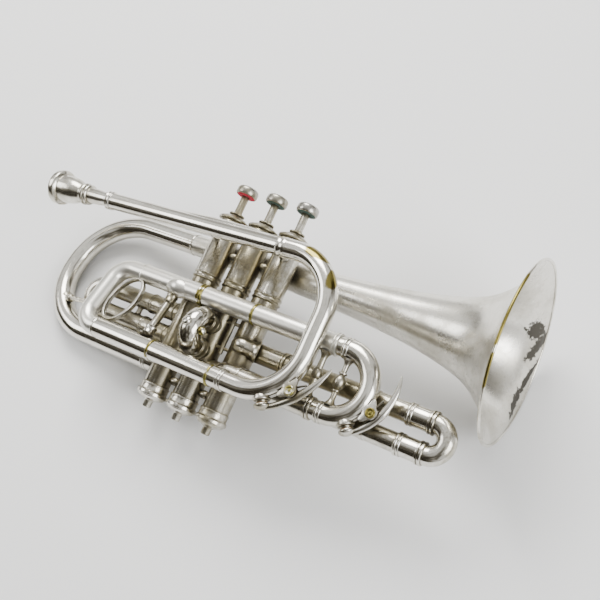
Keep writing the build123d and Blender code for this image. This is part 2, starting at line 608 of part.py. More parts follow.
# ---- water keys --------------------------------------------------------------------------------
class WaterKey:
    """One water key, placed by angles round the bend of the tube that it sits on."""

    def __init__(self, bend, bend_radius, tube, z, cup_angle, pivot_angle, spatula):
        self.bend, self.bend_radius, self.tube, self.z = bend, bend_radius, tube, z
        self.cup_angle, self.pivot_angle, self.spatula = cup_angle, pivot_angle, spatula

    def outward(self, angle):
        return Vector(cos(radians(angle)), sin(radians(angle)), 0)

    def spot(self, angle, rise, side=0.0):
        """A point at a rise above the tube's outside, at an angle round the bend."""
        reach = self.bend_radius + self.tube + rise
        place = Vector(*self.bend) + self.outward(angle) * reach
        return Vector(place.X, place.Y, self.z + side)

    def pivot(self):
        return self.spot(self.pivot_angle, KEY_PIVOT_RISE)


FRONT_KEY = WaterKey((FRONT_BOW_X - FRONT_BOW_BEND, LOWER_TUBE_Y + FRONT_BOW_BEND), FRONT_BOW_BEND,
                     FRONT_BOW_RADIUS, FRONT_Z, -61.0, -34.0, [(97.0, 52.0), (103.5, 66.0)])
TUNING_KEY = WaterKey((TUNING_BOW_X, (UPPER_SLEEVE_Y + TUNING_LOWER_Y) / 2), 21.0, BOW_RADIUS, MIDDLE_Z,
                      -54.0, -20.0, [(139.5, 63.0), (140.0, 79.0)])


def bow_outside(key):
    """The solid outside of the tube under a water key, used to seat the key's mount on it."""
    return Pos(key.bend[0], key.bend[1], key.z) * Torus(key.bend_radius, key.tube + 0.05)


def key_drilling(key):
    low, high = key.spot(key.cup_angle, -key.tube), key.spot(key.cup_angle, 1.0)
    return rod(low, high, 1.3)


def key_mount(key):
    """The saddle with two ears for the pivot, and the nipple that the cork closes."""
    out = key.outward(key.pivot_angle)
    middle = key.spot(key.pivot_angle, (KEY_PIVOT_RISE + 2.2) / 2 - 2.0)
    plane = Plane(origin=middle, x_dir=out, z_dir=(0, 0, 1))
    height = KEY_PIVOT_RISE + 2.2 + 4.0
    ears = plane * Box(height, 4.6, KEY_WIDTH + 2.8)
    ears -= plane * Pos(4.3, 0, 0) * Box(height, 6.0, KEY_WIDTH + 0.2)
    ears -= rod(key.spot(key.pivot_angle, KEY_PIVOT_RISE, -6),
                key.spot(key.pivot_angle, KEY_PIVOT_RISE, 6), PIN_RADIUS)
    low, high = key.spot(key.cup_angle, -1.0), key.spot(key.cup_angle, NIPPLE_RISE)
    nipple = pipe(low, high, NIPPLE_RADIUS, 1.3)
    return [ears - bow_outside(key), nipple - bow_outside(key)]


def key_screw(key):
    side = KEY_WIDTH / 2 + 1.4
    axis = (0, 0, 1)
    tail = key.spot(key.pivot_angle, KEY_PIVOT_RISE, -side - 0.4)
    return turned(tail, axis, [
        (0, 0), (0, PIN_RADIUS), (2 * side + 0.4, PIN_RADIUS), (2 * side + 0.4, SCREW_HEAD_RADIUS),
        (2 * side + 1.6, SCREW_HEAD_RADIUS), (2 * side + 2.2, SCREW_HEAD_RADIUS - 0.8), (2 * side + 2.2, 0)])


def key_lever(key):
    pivot = key.pivot()
    hub = pipe((pivot.X, pivot.Y, key.z - KEY_WIDTH / 2), (pivot.X, pivot.Y, key.z + KEY_WIDTH / 2), 2.1,
               PIN_RADIUS + 0.05)
    hole = rod((pivot.X, pivot.Y, key.z - 8), (pivot.X, pivot.Y, key.z + 8), PIN_RADIUS + 0.05)
    cup_floor = key.spot(key.cup_angle, NIPPLE_RISE + CORK_THICK)
    out = key.outward(key.cup_angle)
    rim = CUP_RADIUS
    cup = turned(cup_floor, out, [(0, 0), (0, rim - 0.8), (-1.0, rim - 0.8), (-1.0, rim), (0.6, rim),
                                  (2.2, rim - 1.4), (2.6, 0)])
    back = cup_floor + out * 1.3
    half_angle = (key.cup_angle + key.pivot_angle) / 2
    knee = key.spot(half_angle, KEY_PIVOT_RISE + 2.2)
    arm_path = ThreePointArc(back, knee, pivot)
    arm = sweep(Plane(origin=arm_path @ 0, z_dir=arm_path % 0, x_dir=(0, 0, 1)) * Rectangle(3.2, 1.6), path=arm_path)
    middle, tip = [Vector(x, y, key.z) for x, y in key.spatula]
    blade_path = ThreePointArc(pivot, middle, tip)
    start = Plane(origin=blade_path @ 0, z_dir=blade_path % 0, x_dir=(0, 0, 1))
    blade = sweep(start * Rectangle(4.4, 1.5), path=blade_path)
    paddle = facing(tip, (blade_path % 1).cross(Vector(0, 0, 1))) * Cylinder(3.4, 1.5)
    return hub + ((arm + blade + paddle) - hole) + cup


def key_cork(key):
    out = key.outward(key.cup_angle)
    return turned(key.spot(key.cup_angle, NIPPLE_RISE), out,
                  [(0, 0), (0, CUP_RADIUS - 1.2), (CORK_THICK, CUP_RADIUS - 0.8), (CORK_THICK, 0)])


def key_spring(key):
    """A flat leaf from the saddle that lies under the spatula."""
    pivot = key.pivot()
    middle = Vector(*key.spatula[0], key.z)
    inward = (Vector(*key.bend, key.z) - pivot).normalized()
    start = pivot + inward * 2.6
    end = pivot + (middle - pivot) * 0.8 + inward * 2.4
    run = (end - start).normalized()
    plane = Plane(origin=(start + end) * 0.5, x_dir=run, z_dir=(0, 0, 1))
    return plane * Box((end - start).length, 0.4, 2.6)


# ---- all pieces --------------------------------------------------------------------------------
def all_pieces():
    pieces = {
        "receiver": receiver(), "leadpipe": leadpipe(), "leadpipe_stays": leadpipe_stays(),
        "front_bow": front_bow() - key_drilling(FRONT_KEY), "lower_tube": lower_tube(), "rear_bow": rear_bow(),
        "upper_sleeve": upper_sleeve(), "tuning_lower_sleeve": tuning_lower_sleeve(),
        "tuning_sleeve_stay": tuning_sleeve_stay(), "valve_spacers": valve_spacers(),
        "valve_guides": [valve_guide(number) for number in range(3)],
        "first_slide_sleeves": slide_sleeves(0, FIRST_Y, (-1, 0, 0), FIRST_SLEEVE_X),
        "second_slide_sleeves": slide_sleeves(1, SECOND_Y, (0, 0, 1), SECOND_SLEEVE_Z),
        "third_slide_sleeves": third_sleeves(),
        "bell": bell(), "bell_rim_wire": rim_wire(), "bell_crook": bell_crook(), "bell_stays": bell_stays(),
        "finger_ring": finger_ring(), "loop_stay": loop_stay(), "mouthpiece": mouthpiece(),
        "tuning_slide": tuning_slide(), "tuning_brace": tuning_brace(), "first_slide": first_slide(),
        "second_slide": second_slide(), "third_slide": third_slide(),
    }
    for number in range(3):
        mark = f"_{number + 1}"
        pieces["valve_casing" + mark] = valve_casing(number)
        pieces["top_cap" + mark] = top_cap(number)
        pieces["bottom_cap" + mark] = bottom_cap(number)
        pieces["piston" + mark] = piston(number)
        pieces["valve_stem" + mark] = valve_stem(number)
        pieces["finger_button" + mark] = finger_button(number)
        pieces["button_felt" + mark] = button_felt(number)
        pieces["valve_spring" + mark] = valve_spring(number)
    for name, key in (("front_key", FRONT_KEY), ("tuning_key", TUNING_KEY)):
        pieces[name + "_mount"] = key_mount(key)
        pieces[name + "_lever"] = key_lever(key)
        pieces[name + "_cork"] = key_cork(key)
        pieces[name + "_spring"] = key_spring(key)
        pieces[name + "_screw"] = key_screw(key)
    return pieces


def as_shape(piece):
    return Compound(children=list(piece)) if isinstance(piece, list) else piece


def lay_down(shapes):
    """Turn every piece as one body, then put the middle of the underside at the origin."""
    turn = Rotation(0, LYING_PITCH, 0) * Rotation(LYING_ROLL, 0, 0)
    turned_shapes = {name: turn * shape for name, shape in shapes.items()}
    box = Compound(children=list(turned_shapes.values())).bounding_box()
    shift = Pos(-(box.min.X + box.max.X) / 2, -(box.min.Y + box.max.Y) / 2, -box.min.Z)
    return shift * turn


PIECES = {name: as_shape(piece) for name, piece in all_pieces().items()}
LAID = lay_down(PIECES)

os.makedirs("parts", exist_ok=True)
for name, shape in PIECES.items():
    export_step(LAID * shape, f"parts/{name}.step")
print(len(PIECES), "nodes")
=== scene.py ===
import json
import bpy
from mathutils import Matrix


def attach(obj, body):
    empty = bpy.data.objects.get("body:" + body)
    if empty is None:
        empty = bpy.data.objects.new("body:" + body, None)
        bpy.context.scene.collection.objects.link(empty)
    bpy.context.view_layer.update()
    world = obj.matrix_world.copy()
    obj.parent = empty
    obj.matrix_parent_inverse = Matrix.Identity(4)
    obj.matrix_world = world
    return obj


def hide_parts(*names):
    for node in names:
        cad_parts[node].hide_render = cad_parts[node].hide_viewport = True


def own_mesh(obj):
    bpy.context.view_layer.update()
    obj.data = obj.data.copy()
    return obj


bl_info = {
    "name": "Silver cornet",
    "version": (1, 0, 0),
    "blender": (4, 5, 0),
    "location": "View3D > Sidebar > Cornet",
    "description": "Builds the polished outside of a three-valve cornet round its CAD frame, and its stage",
    "category": "Add Mesh",
}

from math import atan2, cos, degrees, pi, radians, sin, tan

import bmesh
import bpy
from bmesh.types import BMEdge, BMVert
from bpy.props import FloatProperty, FloatVectorProperty, IntProperty, PointerProperty
from mathutils import Matrix, Vector

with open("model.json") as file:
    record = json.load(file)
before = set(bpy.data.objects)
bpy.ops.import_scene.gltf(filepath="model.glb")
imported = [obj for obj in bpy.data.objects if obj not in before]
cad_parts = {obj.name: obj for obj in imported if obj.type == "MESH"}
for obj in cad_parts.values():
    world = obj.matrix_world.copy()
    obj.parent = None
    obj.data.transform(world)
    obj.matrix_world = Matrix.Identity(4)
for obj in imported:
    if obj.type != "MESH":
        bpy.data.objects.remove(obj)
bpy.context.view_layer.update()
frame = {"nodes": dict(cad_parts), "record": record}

# The cornet is drawn in its own playing frame, in millimetres: X forward to the bell, Y up to the finger
# buttons, Z towards the leadpipe. X = 0 and Z = 0 are the middle valve's axis, and Y = 0 is at the tips of
# the bottom caps. It lies on its side in the CAD frame, so HORN carries every finished mesh there.
RECORD = frame["record"]
JOINT = {joint["name"]: joint for joint in RECORD["behaviour"]["joints"]}
MOUNT = {mount["name"]: mount for mount in RECORD["mounts"]}

VALVE_X = (-25.5, 0.0, 25.5)
CASING_MIDDLE = 9.2                 # middle of a casing's wall, from its axis
FRONT_Z = 30.0
MIDDLE_Z = 16.0
THIRD_Z = 2.0
LOWER_Y = 35.4
UPPER_Y = 83.2
TUNING_Y = 41.2
THIRD_Y = (61.9, 42.8)
SECOND_Y = (68.0, 50.0)
FIRST_Y = (67.5, 50.5)
BELL_Y = 122.3
BELL_Z = -20.8
BELL_MOUTH_X = 190.7
PIPE_START = Vector((-111.0, 122.0, FRONT_Z))
PIPE_END = Vector((41.5, 128.0, FRONT_Z))
TUNING_BOW_X = 103.5
FRONT_BOW_X = 83.5
FRONT_BEND = 34.0
LOWER_ENDS_X = (-69.6, 39.7)
REAR_BOW_X = -84.0
UPPER_START_X = -64.0
SLEEVE_END_X = 96.0                 # where the tuning slide goes into its two sleeves
CROOK_X = -150.0
CROOK_Y = 30.5
CROOK_Z = -3.0
KEY_PIVOT_RISE = 3.4
KEY_WIDTH = 5.0
NIPPLE_RISE = 2.4
CORK_THICK = 1.6
THIN_END = 0.12                     # least share of its thickness that a key's blade keeps

STAIN = (0.07, 0.065, 0.055)
STAIN_RAGGED = 3.2
SPOT_RAGGED = 0.4


def horn_matrix():
    """The rigid turn from the playing frame, in millimetres, to the CAD frame, in metres."""
    forward = Vector(MOUNT["bell_mouth"]["axis"]).normalized()
    up = -Vector(JOINT["valve_1_press"]["axis"]).normalized()
    side = forward.cross(up).normalized()
    turn = Matrix((forward, up, side)).transposed().to_4x4()
    mouth = Vector(MOUNT["bell_mouth"]["pos_m"])
    scaled = turn @ Matrix.Scale(0.001, 4)
    origin = mouth - scaled @ Vector((BELL_MOUTH_X, BELL_Y, BELL_Z))
    return Matrix.Translation(origin) @ scaled


HORN = horn_matrix()
HORN_TURN = HORN.to_3x3().normalized()


# ---- what a user would change ------------------------------------------------------------------
class CornetTubing(bpy.types.PropertyGroup):
    """Sizes of the round work."""

    sleeve: FloatProperty(name="Sleeve radius", description="Outside radius of a fixed slide sleeve, mm",
                          default=6.7)
    slide: FloatProperty(name="Slide radius", description="Outside radius of an inner slide leg, mm",
                         default=6.2)
    bow: FloatProperty(name="Bow radius", description="Outside radius of a bent bow, mm", default=6.4)
    facets: IntProperty(name="Facets", description="Sides of a round tube", default=56, min=12, max=128)
    ease: FloatProperty(name="Edge ease", description="Width of the rounding on turned edges, mm",
                        default=0.18)


class CornetFinish(bpy.types.PropertyGroup):
    """Colours and state of the plating."""

    silver: FloatVectorProperty(name="Silver", description="Clean plate", subtype="COLOR", size=3,
                                default=(0.79, 0.765, 0.70), min=0, max=1)
    # The tarnish colour is also the painted shade on sides that face the floor or other tubes.
    tarnish_and_shade: FloatVectorProperty(name="Tarnish", description="Brown film on the plate", subtype="COLOR",
                                 size=3, default=(0.275, 0.245, 0.165), min=0, max=1)
    # The grime colour is also painted shade in corners and between parts, not only real dirt.
    grime_and_shade: FloatVectorProperty(name="Grime", description="Dark dirt in the corners", subtype="COLOR", size=3,
                               default=(0.032, 0.024, 0.014), min=0, max=1)
    brass: FloatVectorProperty(name="Brass", description="Metal under worn plate", subtype="COLOR", size=3,
                               default=(0.22, 0.18, 0.05), min=0, max=1)
    polish: FloatProperty(name="Roughness", description="Roughness of the cleanest plate", default=0.13,
                          min=0, max=1)


class CornetStage(bpy.types.PropertyGroup):
    """Camera, floor and light."""

    eye: FloatVectorProperty(name="Eye", description="Camera place in the playing frame, mm", size=3,
                             default=(306.6, 12.8, 477.0))
    target: FloatVectorProperty(name="Target", description="Point in the middle of the picture, mm", size=3,
                                default=(46.3, 105.7, -4.3))
    head_up: FloatVectorProperty(name="Head up", description="Direction that is up in the picture", size=3,
                                 default=(-0.2915, 0.8975, 0.3309))
    lens: FloatProperty(name="Lens", description="Focal length, mm", default=50.25)
    floor: FloatVectorProperty(name="Floor", description="Colour of the floor", subtype="COLOR", size=3,
                               default=(0.88, 0.88, 0.875), min=0, max=1)


def tubing():
    return bpy.context.scene.cornet_tubing


def finish():
    return bpy.context.scene.cornet_finish


# ---- workshop: turning, bending and joining ----------------------------------------------------
def aim(foot, axis):
    """A placement that stands a shape's Z axis on a foot, along an axis."""
    return Matrix.Translation(Vector(foot)) @ Vector(axis).to_track_quat("Z", "Y").to_matrix().to_4x4()


def flowing(points, steps):
    """Extra points on a smooth line through a short outline."""
    ends = [points[0], *points, points[-1]]
    line = []
    for before, start, end, after in zip(ends, ends[1:], ends[2:], ends[3:]):
        p0, p1, p2, p3 = map(Vector, (before, start, end, after))
        for step in range(steps):
            t = step / steps
            bend = (p1 - p2) * 3 + p3 - p0
            line.append(tuple(((bend * t + p0 * 2 - p1 * 5 + p2 * 4 - p3) * t + p2 - p0) * t / 2 + p1))
    return line + [tuple(points[-1])]


def soften(bm, width, sharp=30.0):
    """Round the sharp edges, as buffing does."""
    edges = [edge for edge in bm.edges if edge.is_manifold and edge.calc_face_angle() > radians(sharp)]
    if width and edges:
        bmesh.ops.bevel(bm, geom=edges, offset=width, offset_type="OFFSET", segments=2, profile=0.5,
                        affect="EDGES", clamp_overlap=True, material=-1)


def kept(parts, kind):
    """Those of an operator's results that are of one kind."""
    return [part for part in parts if isinstance(part, kind)]


def turn_on_lathe(outline, foot, axis, closed=False, facets=None, ease=None):
    """A turned shape: outline is a list of (distance along the axis, radius)."""
    bm = bmesh.new()
    verts = [bm.verts.new((radius, 0, along)) for along, radius in outline]
    edges = [bm.edges.new(pair) for pair in zip(verts, verts[1:])]
    if closed:
        edges.append(bm.edges.new((verts[-1], verts[0])))
    bmesh.ops.spin(bm, geom=verts + edges, cent=(0, 0, 0), axis=(0, 0, 1), angle=2 * pi,
                   steps=facets or tubing().facets, use_merge=True)
    bmesh.ops.remove_doubles(bm, verts=bm.verts, dist=0.0005)
    bmesh.ops.recalc_face_normals(bm, faces=bm.faces)
    soften(bm, tubing().ease if ease is None else ease)
    bmesh.ops.transform(bm, matrix=aim(foot, axis), verts=bm.verts)
    return bm


def bend_tube(points, bend, radius, facets=None):
    """A round tube along straight runs joined by bends, capped at both ends."""
    points = [Vector(point) for point in points]
    bm = bmesh.new()
    heading = (points[1] - points[0]).normalized()
    bmesh.ops.create_circle(bm, segments=facets or tubing().facets, radius=radius,
                            matrix=aim(points[0], heading), cap_ends=False)
    rim = bm.edges[:]
    place = points[0]
    for corner, after in zip(points[1:], [*points[2:], None]):
        turn = 0.0
        if after is not None:
            leaving = (after - corner).normalized()
            turn = heading.angle(leaving)
        reach = bend * tan(turn / 2)
        run = (corner - place).length - reach
        if run > 0.01:
            made = bmesh.ops.extrude_edge_only(bm, edges=rim)["geom"]
            verts = kept(made, BMVert)
            rim = [edge for edge in kept(made, BMEdge) if edge.verts[0] in verts and edge.verts[1] in verts]
            bmesh.ops.translate(bm, vec=heading * run, verts=verts)
            place = place + heading * run
        if turn > 0.001:
            towards = (leaving - heading * leaving.dot(heading)).normalized()
            swing = bmesh.ops.spin(bm, geom=rim, cent=place + towards * bend, axis=heading.cross(towards),
                                   angle=turn, steps=max(4, round(degrees(turn) / 3)))
            rim = kept(swing["geom_last"], BMEdge)
            place = corner + leaving * reach
            heading = leaving
    bmesh.ops.remove_doubles(bm, verts=bm.verts, dist=0.001)
    bmesh.ops.holes_fill(bm, edges=[edge for edge in bm.edges if edge.is_boundary], sides=0)
    bmesh.ops.recalc_face_normals(bm, faces=bm.faces)
    return bm


def band(centre, axis, radius, width, step):
    """A rounded ferrule ring on a tube."""
    half = width / 2
    profile = [(-half, radius - 0.3), (-half, radius + step * 0.35), (-half * 0.62, radius + step * 0.88),
               (0, radius + step), (half * 0.62, radius + step * 0.88), (half, radius + step * 0.35),
               (half, radius - 0.3)]
    return turn_on_lathe(profile, centre, axis, closed=True, ease=0.0)


def post(start, end, radius, feet=(0.0, 0.0), foot_height=4.0, extras=()):
    """A stay between two points, with flared feet and any turned beads between them."""
    start, end = Vector(start), Vector(end)
    length = (end - start).length
    low, high = feet
    outline = [(0.0, 0.0), (0.0, low or radius)]
    if low:
        outline += [(foot_height * share, radius + (low - radius) * (1 - share) ** 2.2)
                    for share in (0.12, 0.3, 0.5, 0.75, 1.0)]
    outline += list(extras)
    if high:
        outline += [(length - foot_height * share, radius + (high - radius) * (1 - share) ** 2.2)
                    for share in (1.0, 0.75, 0.5, 0.3, 0.12)]
    outline += [(length, high or radius), (length, 0.0)]
    return turn_on_lathe(outline, start, end - start, facets=32, ease=0.0)


def stop_at_bores(bm, along):
    """Ends what runs into the valve casings in the middle of their walls, clear of the pistons. along is the
    direction of the tubes in bm."""
    along = Vector(along).normalized()
    for vert in bm.verts:
        for x in VALVE_X:
            reach = Vector((vert.co.x - x, 0, vert.co.z))
            if reach.length >= CASING_MIDDLE:
                continue
            travel = reach.dot(along)
            across = (reach - along * travel).length
            wanted = (CASING_MIDDLE ** 2 - across ** 2) ** 0.5
            vert.co += along * ((wanted if travel > 0 else -wanted) - travel)
    return bm


def bead(middle, radius, height):
    """The outline of a ball on a stay, as points between its two necks."""
    return [(middle - radius * cos(angle), height + (radius - height) * sin(angle))
            for angle in (radians(10 + 20 * step) for step in range(9))]


class Workpiece:
    """One piece in the making: shapes are added to it, then it is set in place on its body."""

    def __init__(self, name):
        self.name = name
        self.bm = bmesh.new()

    def add(self, shape, finish_index=0):
        for face in shape.faces:
            face.material_index = finish_index
            face.smooth = True
        scrap = bpy.data.meshes.new("scrap")
        shape.to_mesh(scrap)
        shape.free()
        self.bm.from_mesh(scrap)
        bpy.data.meshes.remove(scrap)
        return self

    def set_in_place(self, body, nodes, slot, materials, sharp=40.0):
        bmesh.ops.transform(self.bm, matrix=HORN, verts=self.bm.verts)
        mesh = bpy.data.meshes.new(self.name)
        self.bm.to_mesh(mesh)
        self.bm.free()
        for material in materials:
            mesh.materials.append(material)
        mesh.set_sharp_from_angle(angle=radians(sharp))
        piece = bpy.data.objects.new(self.name, mesh)
        bpy.context.scene.collection.objects.link(piece)
        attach(piece, body)
        if nodes:
            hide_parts(*nodes)
        return piece


# ---- finishes ----------------------------------------------------------------------------------
def node(tree, kind, links=None, values=None, **settings):
    """Add a shader node, set its settings and values, and link its inputs."""
    made = tree.nodes.new(kind)
    for name, value in settings.items():
        setattr(made, name, value)
    for key, value in (values or {}).items():
        made.inputs[key].default_value = value
    for key, source in (links or {}).items():
        tree.links.new(source, made.inputs[key])
    return made


def new_group(name, inputs, outputs):
    """An empty shader group with named sockets."""
    group = bpy.data.node_groups.new(name, "ShaderNodeTree")
    for label, kind, default in inputs:
        socket = group.interface.new_socket(name=label, in_out="INPUT", socket_type=kind)
        if default is not None:
            socket.default_value = default
    for label, kind in outputs:
        group.interface.new_socket(name=label, in_out="OUTPUT", socket_type=kind)
    return group, group.nodes.new("NodeGroupInput").outputs, group.nodes.new("NodeGroupOutput").inputs


def mix_colour(tree, share, low, high):
    made = node(tree, "ShaderNodeMix", data_type="RGBA")
    for socket, value in ((made.inputs[0], share), (made.inputs[6], low), (made.inputs[7], high)):
        if isinstance(value, bpy.types.NodeSocket):
            tree.links.new(value, socket)
        else:
            socket.default_value = value
    return made.outputs[2]


def maths(tree, operation, first, second=None, clamp=False):
    made = node(tree, "ShaderNodeMath", operation=operation, use_clamp=clamp)
    for socket, value in zip(made.inputs, (first, second)):
        if isinstance(value, bpy.types.NodeSocket):
            tree.links.new(value, socket)
        elif value is not None:
            socket.default_value = value
    return made.outputs[0]


def spread(tree, value, low, high):
    """Stretch the part of a value from low to high over the whole of 0 to 1."""
    made = node(tree, "ShaderNodeMapRange", links={"Value": value}, interpolation_type="SMOOTHSTEP",
                values={"From Min": low, "From Max": high})
    return made.outputs["Result"]


def plate_age_and_shade_group():
    """Old silver plate: clean plate, a brown film in clouds, the tarnish colour as painted shade on sides
    that face the floor or other tubes, and dark grime where parts meet, partly real grime and partly painted
    shade.
    """
    name = "plate_age"
    if name in bpy.data.node_groups:
        return bpy.data.node_groups[name]
    group, given, made = new_group(
        name,
        [("Place", "NodeSocketVector", None), ("Silver", "NodeSocketColor", (0.8, 0.8, 0.8, 1)),
         ("Tarnish", "NodeSocketColor", (0.4, 0.3, 0.2, 1)),
         ("Grime", "NodeSocketColor", (0.05, 0.04, 0.03, 1)), ("Film", "NodeSocketFloat", 0.3),
         ("Corners", "NodeSocketFloat", 0.7), ("Polish", "NodeSocketFloat", 0.15)],
        [("Color", "NodeSocketColor"), ("Roughness", "NodeSocketFloat"), ("Height", "NodeSocketFloat")])
    clouds = node(group, "ShaderNodeTexNoise", links={"Vector": given["Place"]},
                  values={"Scale": 38.0, "Detail": 5.0, "Roughness": 0.6}).outputs["Fac"]
    mottle = node(group, "ShaderNodeTexNoise", links={"Vector": given["Place"]},
                  values={"Scale": 420.0, "Detail": 4.0, "Roughness": 0.65}).outputs["Fac"]
    pits = node(group, "ShaderNodeTexVoronoi", links={"Vector": given["Place"]},
                values={"Scale": 900.0}).outputs["Distance"]
    film_and_shade = maths(group, "MULTIPLY", spread(group, clouds, 0.40, 0.68), given["Film"])
    film_and_shade = maths(group, "ADD", film_and_shade, maths(group, "MULTIPLY", maths(group, "MULTIPLY", spread(
        group, mottle, 0.45, 0.75), 0.45), given["Film"]), clamp=True)
    shelter = node(group, "ShaderNodeAmbientOcclusion", values={"Distance": 0.009}, samples=6).outputs["AO"]
    nook = node(group, "ShaderNodeAmbientOcclusion", values={"Distance": 0.03}, samples=6).outputs["AO"]
    # Painted shade: where the wide occlusion (nook) finds the floor or other tubes near, the film share
    # rises, so the tarnish colour darkens those sides as shade.
    film_and_shade = maths(group, "ADD", film_and_shade, maths(group, "MULTIPLY", spread(group, nook, 0.95, 0.45), maths(
        group, "ADD", maths(group, "MULTIPLY", given["Film"], 0.9), 0.1)), clamp=True)
    # Painted shade: where the near occlusion (shelter) is low, in corners and between parts, the grime colour
    # is mixed in. This is partly real grime and partly painted shade.
    corner = maths(group, "MULTIPLY", spread(group, maths(group, "ADD", shelter, maths(
        group, "MULTIPLY", mottle, 0.25)), 0.88, 0.40), given["Corners"], clamp=True)
    speck = maths(group, "MULTIPLY", spread(group, pits, 0.14, 0.05), spread(group, clouds, 0.5, 0.62))
    # The film share mixes in the tarnish colour: real tarnish from the clouds and mottle, and painted shade
    # from the nook mask.
    colour = mix_colour(group, film_and_shade, given["Silver"], given["Tarnish"])
    colour = mix_colour(group, corner, colour, given["Grime"])
    colour = mix_colour(group, maths(group, "MULTIPLY", speck, 0.5), colour, given["Grime"])
    rough = maths(group, "ADD", given["Polish"], maths(group, "MULTIPLY", film_and_shade, 0.16))
    rough = maths(group, "ADD", rough, maths(group, "MULTIPLY", corner, 0.25), clamp=True)
    height = maths(group, "ADD", maths(group, "MULTIPLY", clouds, 0.9),
                   maths(group, "MULTIPLY", mottle, 0.10))
    for label, source in (("Color", colour), ("Roughness", rough), ("Height", height)):
        group.links.new(source, made[label])
    return group


def worn_spot_group():
    """A ragged patch where the plate has worn away, round a centre and with a half size each way."""
    name = "worn_spot"
    if name in bpy.data.node_groups:
        return bpy.data.node_groups[name]
    group, given, made = new_group(
        name,
        [("Place", "NodeSocketVector", None), ("Centre", "NodeSocketVector", (0, 0, 0)),
         ("Half size", "NodeSocketVector", (0.01, 0.01, 0.01)), ("Ragged", "NodeSocketFloat", 0.35)],
        [("Mask", "NodeSocketFloat")])
    offset = node(group, "ShaderNodeVectorMath", operation="SUBTRACT",
                  links={0: given["Place"], 1: given["Centre"]}).outputs[0]
    scaled = node(group, "ShaderNodeVectorMath", operation="DIVIDE",
                  links={0: offset, 1: given["Half size"]}).outputs[0]
    far = node(group, "ShaderNodeVectorMath", operation="LENGTH", links={0: scaled}).outputs["Value"]
    fray = node(group, "ShaderNodeTexNoise", links={"Vector": given["Place"]},
                values={"Scale": 260.0, "Detail": 6.0, "Roughness": 0.7}).outputs["Fac"]
    edge = maths(group, "ADD", far,
                 maths(group, "MULTIPLY", maths(group, "SUBTRACT", fray, 0.5), given["Ragged"]))
    group.links.new(spread(group, edge, 1.12, 0.9), made["Mask"])
    return group


def blank_material(name):
    """A new material, its tree, its shader, and the place on the piece that patterns read."""
    material = bpy.data.materials.new(name)
    material.use_nodes = True
    tree = material.node_tree
    place = node(tree, "ShaderNodeTexCoord").outputs["Object"]
    return material, tree, tree.nodes["Principled BSDF"], place


def plated(name, film_and_shade=0.35, corners=0.75, polish=None, spots=(), stains=(), tone=1.0):
    """Silver plate. spots and stains are (centre in the playing frame, half size in mm), of brass showing
    through and of dark stain."""
    if name in bpy.data.materials:
        return bpy.data.materials[name]
    look = finish()
    material, tree, shader, place = blank_material(name)
    # Besides tarnish and grime, the group paints shade into corners, between parts and on sides that face the
    # floor or other tubes.
    age_and_shade = node(tree, "ShaderNodeGroup", node_tree=plate_age_and_shade_group(), links={"Place": place},
               values={"Silver": (*(part * tone for part in look.silver), 1), "Tarnish": (*look.tarnish_and_shade, 1),
                       "Grime": (*look.grime_and_shade, 1), "Film": film_and_shade, "Corners": corners,
                       "Polish": look.polish if polish is None else polish})
    colour, rough = age_and_shade.outputs["Color"], age_and_shade.outputs["Roughness"]
    marks = [(*spot, look.brass, SPOT_RAGGED) for spot in spots]
    marks += [(*stain, STAIN, STAIN_RAGGED) for stain in stains]
    for centre, half, tint, ragged in marks:
        mark = node(tree, "ShaderNodeGroup", node_tree=worn_spot_group(), links={"Place": place},
                    values={"Centre": HORN @ Vector(centre), "Half size": [part / 1000 for part in half],
                            "Ragged": ragged})
        colour = mix_colour(tree, mark.outputs["Mask"], colour, (*tint, 1))
    bump = node(tree, "ShaderNodeBump", values={"Strength": 0.35, "Distance": 0.0004},
                links={"Height": age_and_shade.outputs["Height"]})
    tree.links.new(colour, shader.inputs["Base Color"])
    tree.links.new(rough, shader.inputs["Roughness"])
    tree.links.new(bump.outputs["Normal"], shader.inputs["Normal"])
    shader.inputs["Metallic"].default_value = 1.0
    return material


def silver():
    return plated("silver_plate")


def brown_silver():
    return plated("brown_silver", film_and_shade=0.85, corners=0.9, polish=0.2, tone=0.86)


def worn_brass():
    """Brass with scraps of plate left on it, as on the rims of ferrules."""
    name = "worn_brass"
    if name in bpy.data.materials:
        return bpy.data.materials[name]
    look = finish()
    material, tree, shader, place = blank_material(name)
    # Besides tarnish and grime, the group paints shade into corners, between parts and on sides that face the
    # floor or other tubes.
    age_and_shade = node(tree, "ShaderNodeGroup", node_tree=plate_age_and_shade_group(), links={"Place": place},
               values={"Silver": (*look.brass, 1), "Tarnish": (0.30, 0.27, 0.09, 1),
                       "Grime": (*look.grime_and_shade, 1), "Film": 0.8, "Corners": 0.8, "Polish": 0.22})
    scraps = node(tree, "ShaderNodeTexNoise", links={"Vector": place},
                  values={"Scale": 170.0, "Detail": 5.0, "Roughness": 0.6}).outputs["Fac"]
    colour = mix_colour(tree, spread(tree, scraps, 0.55, 0.63), age_and_shade.outputs["Color"], (*look.silver, 1))
    tree.links.new(colour, shader.inputs["Base Color"])
    tree.links.new(age_and_shade.outputs["Roughness"], shader.inputs["Roughness"])
    shader.inputs["Metallic"].default_value = 1.0
    return material


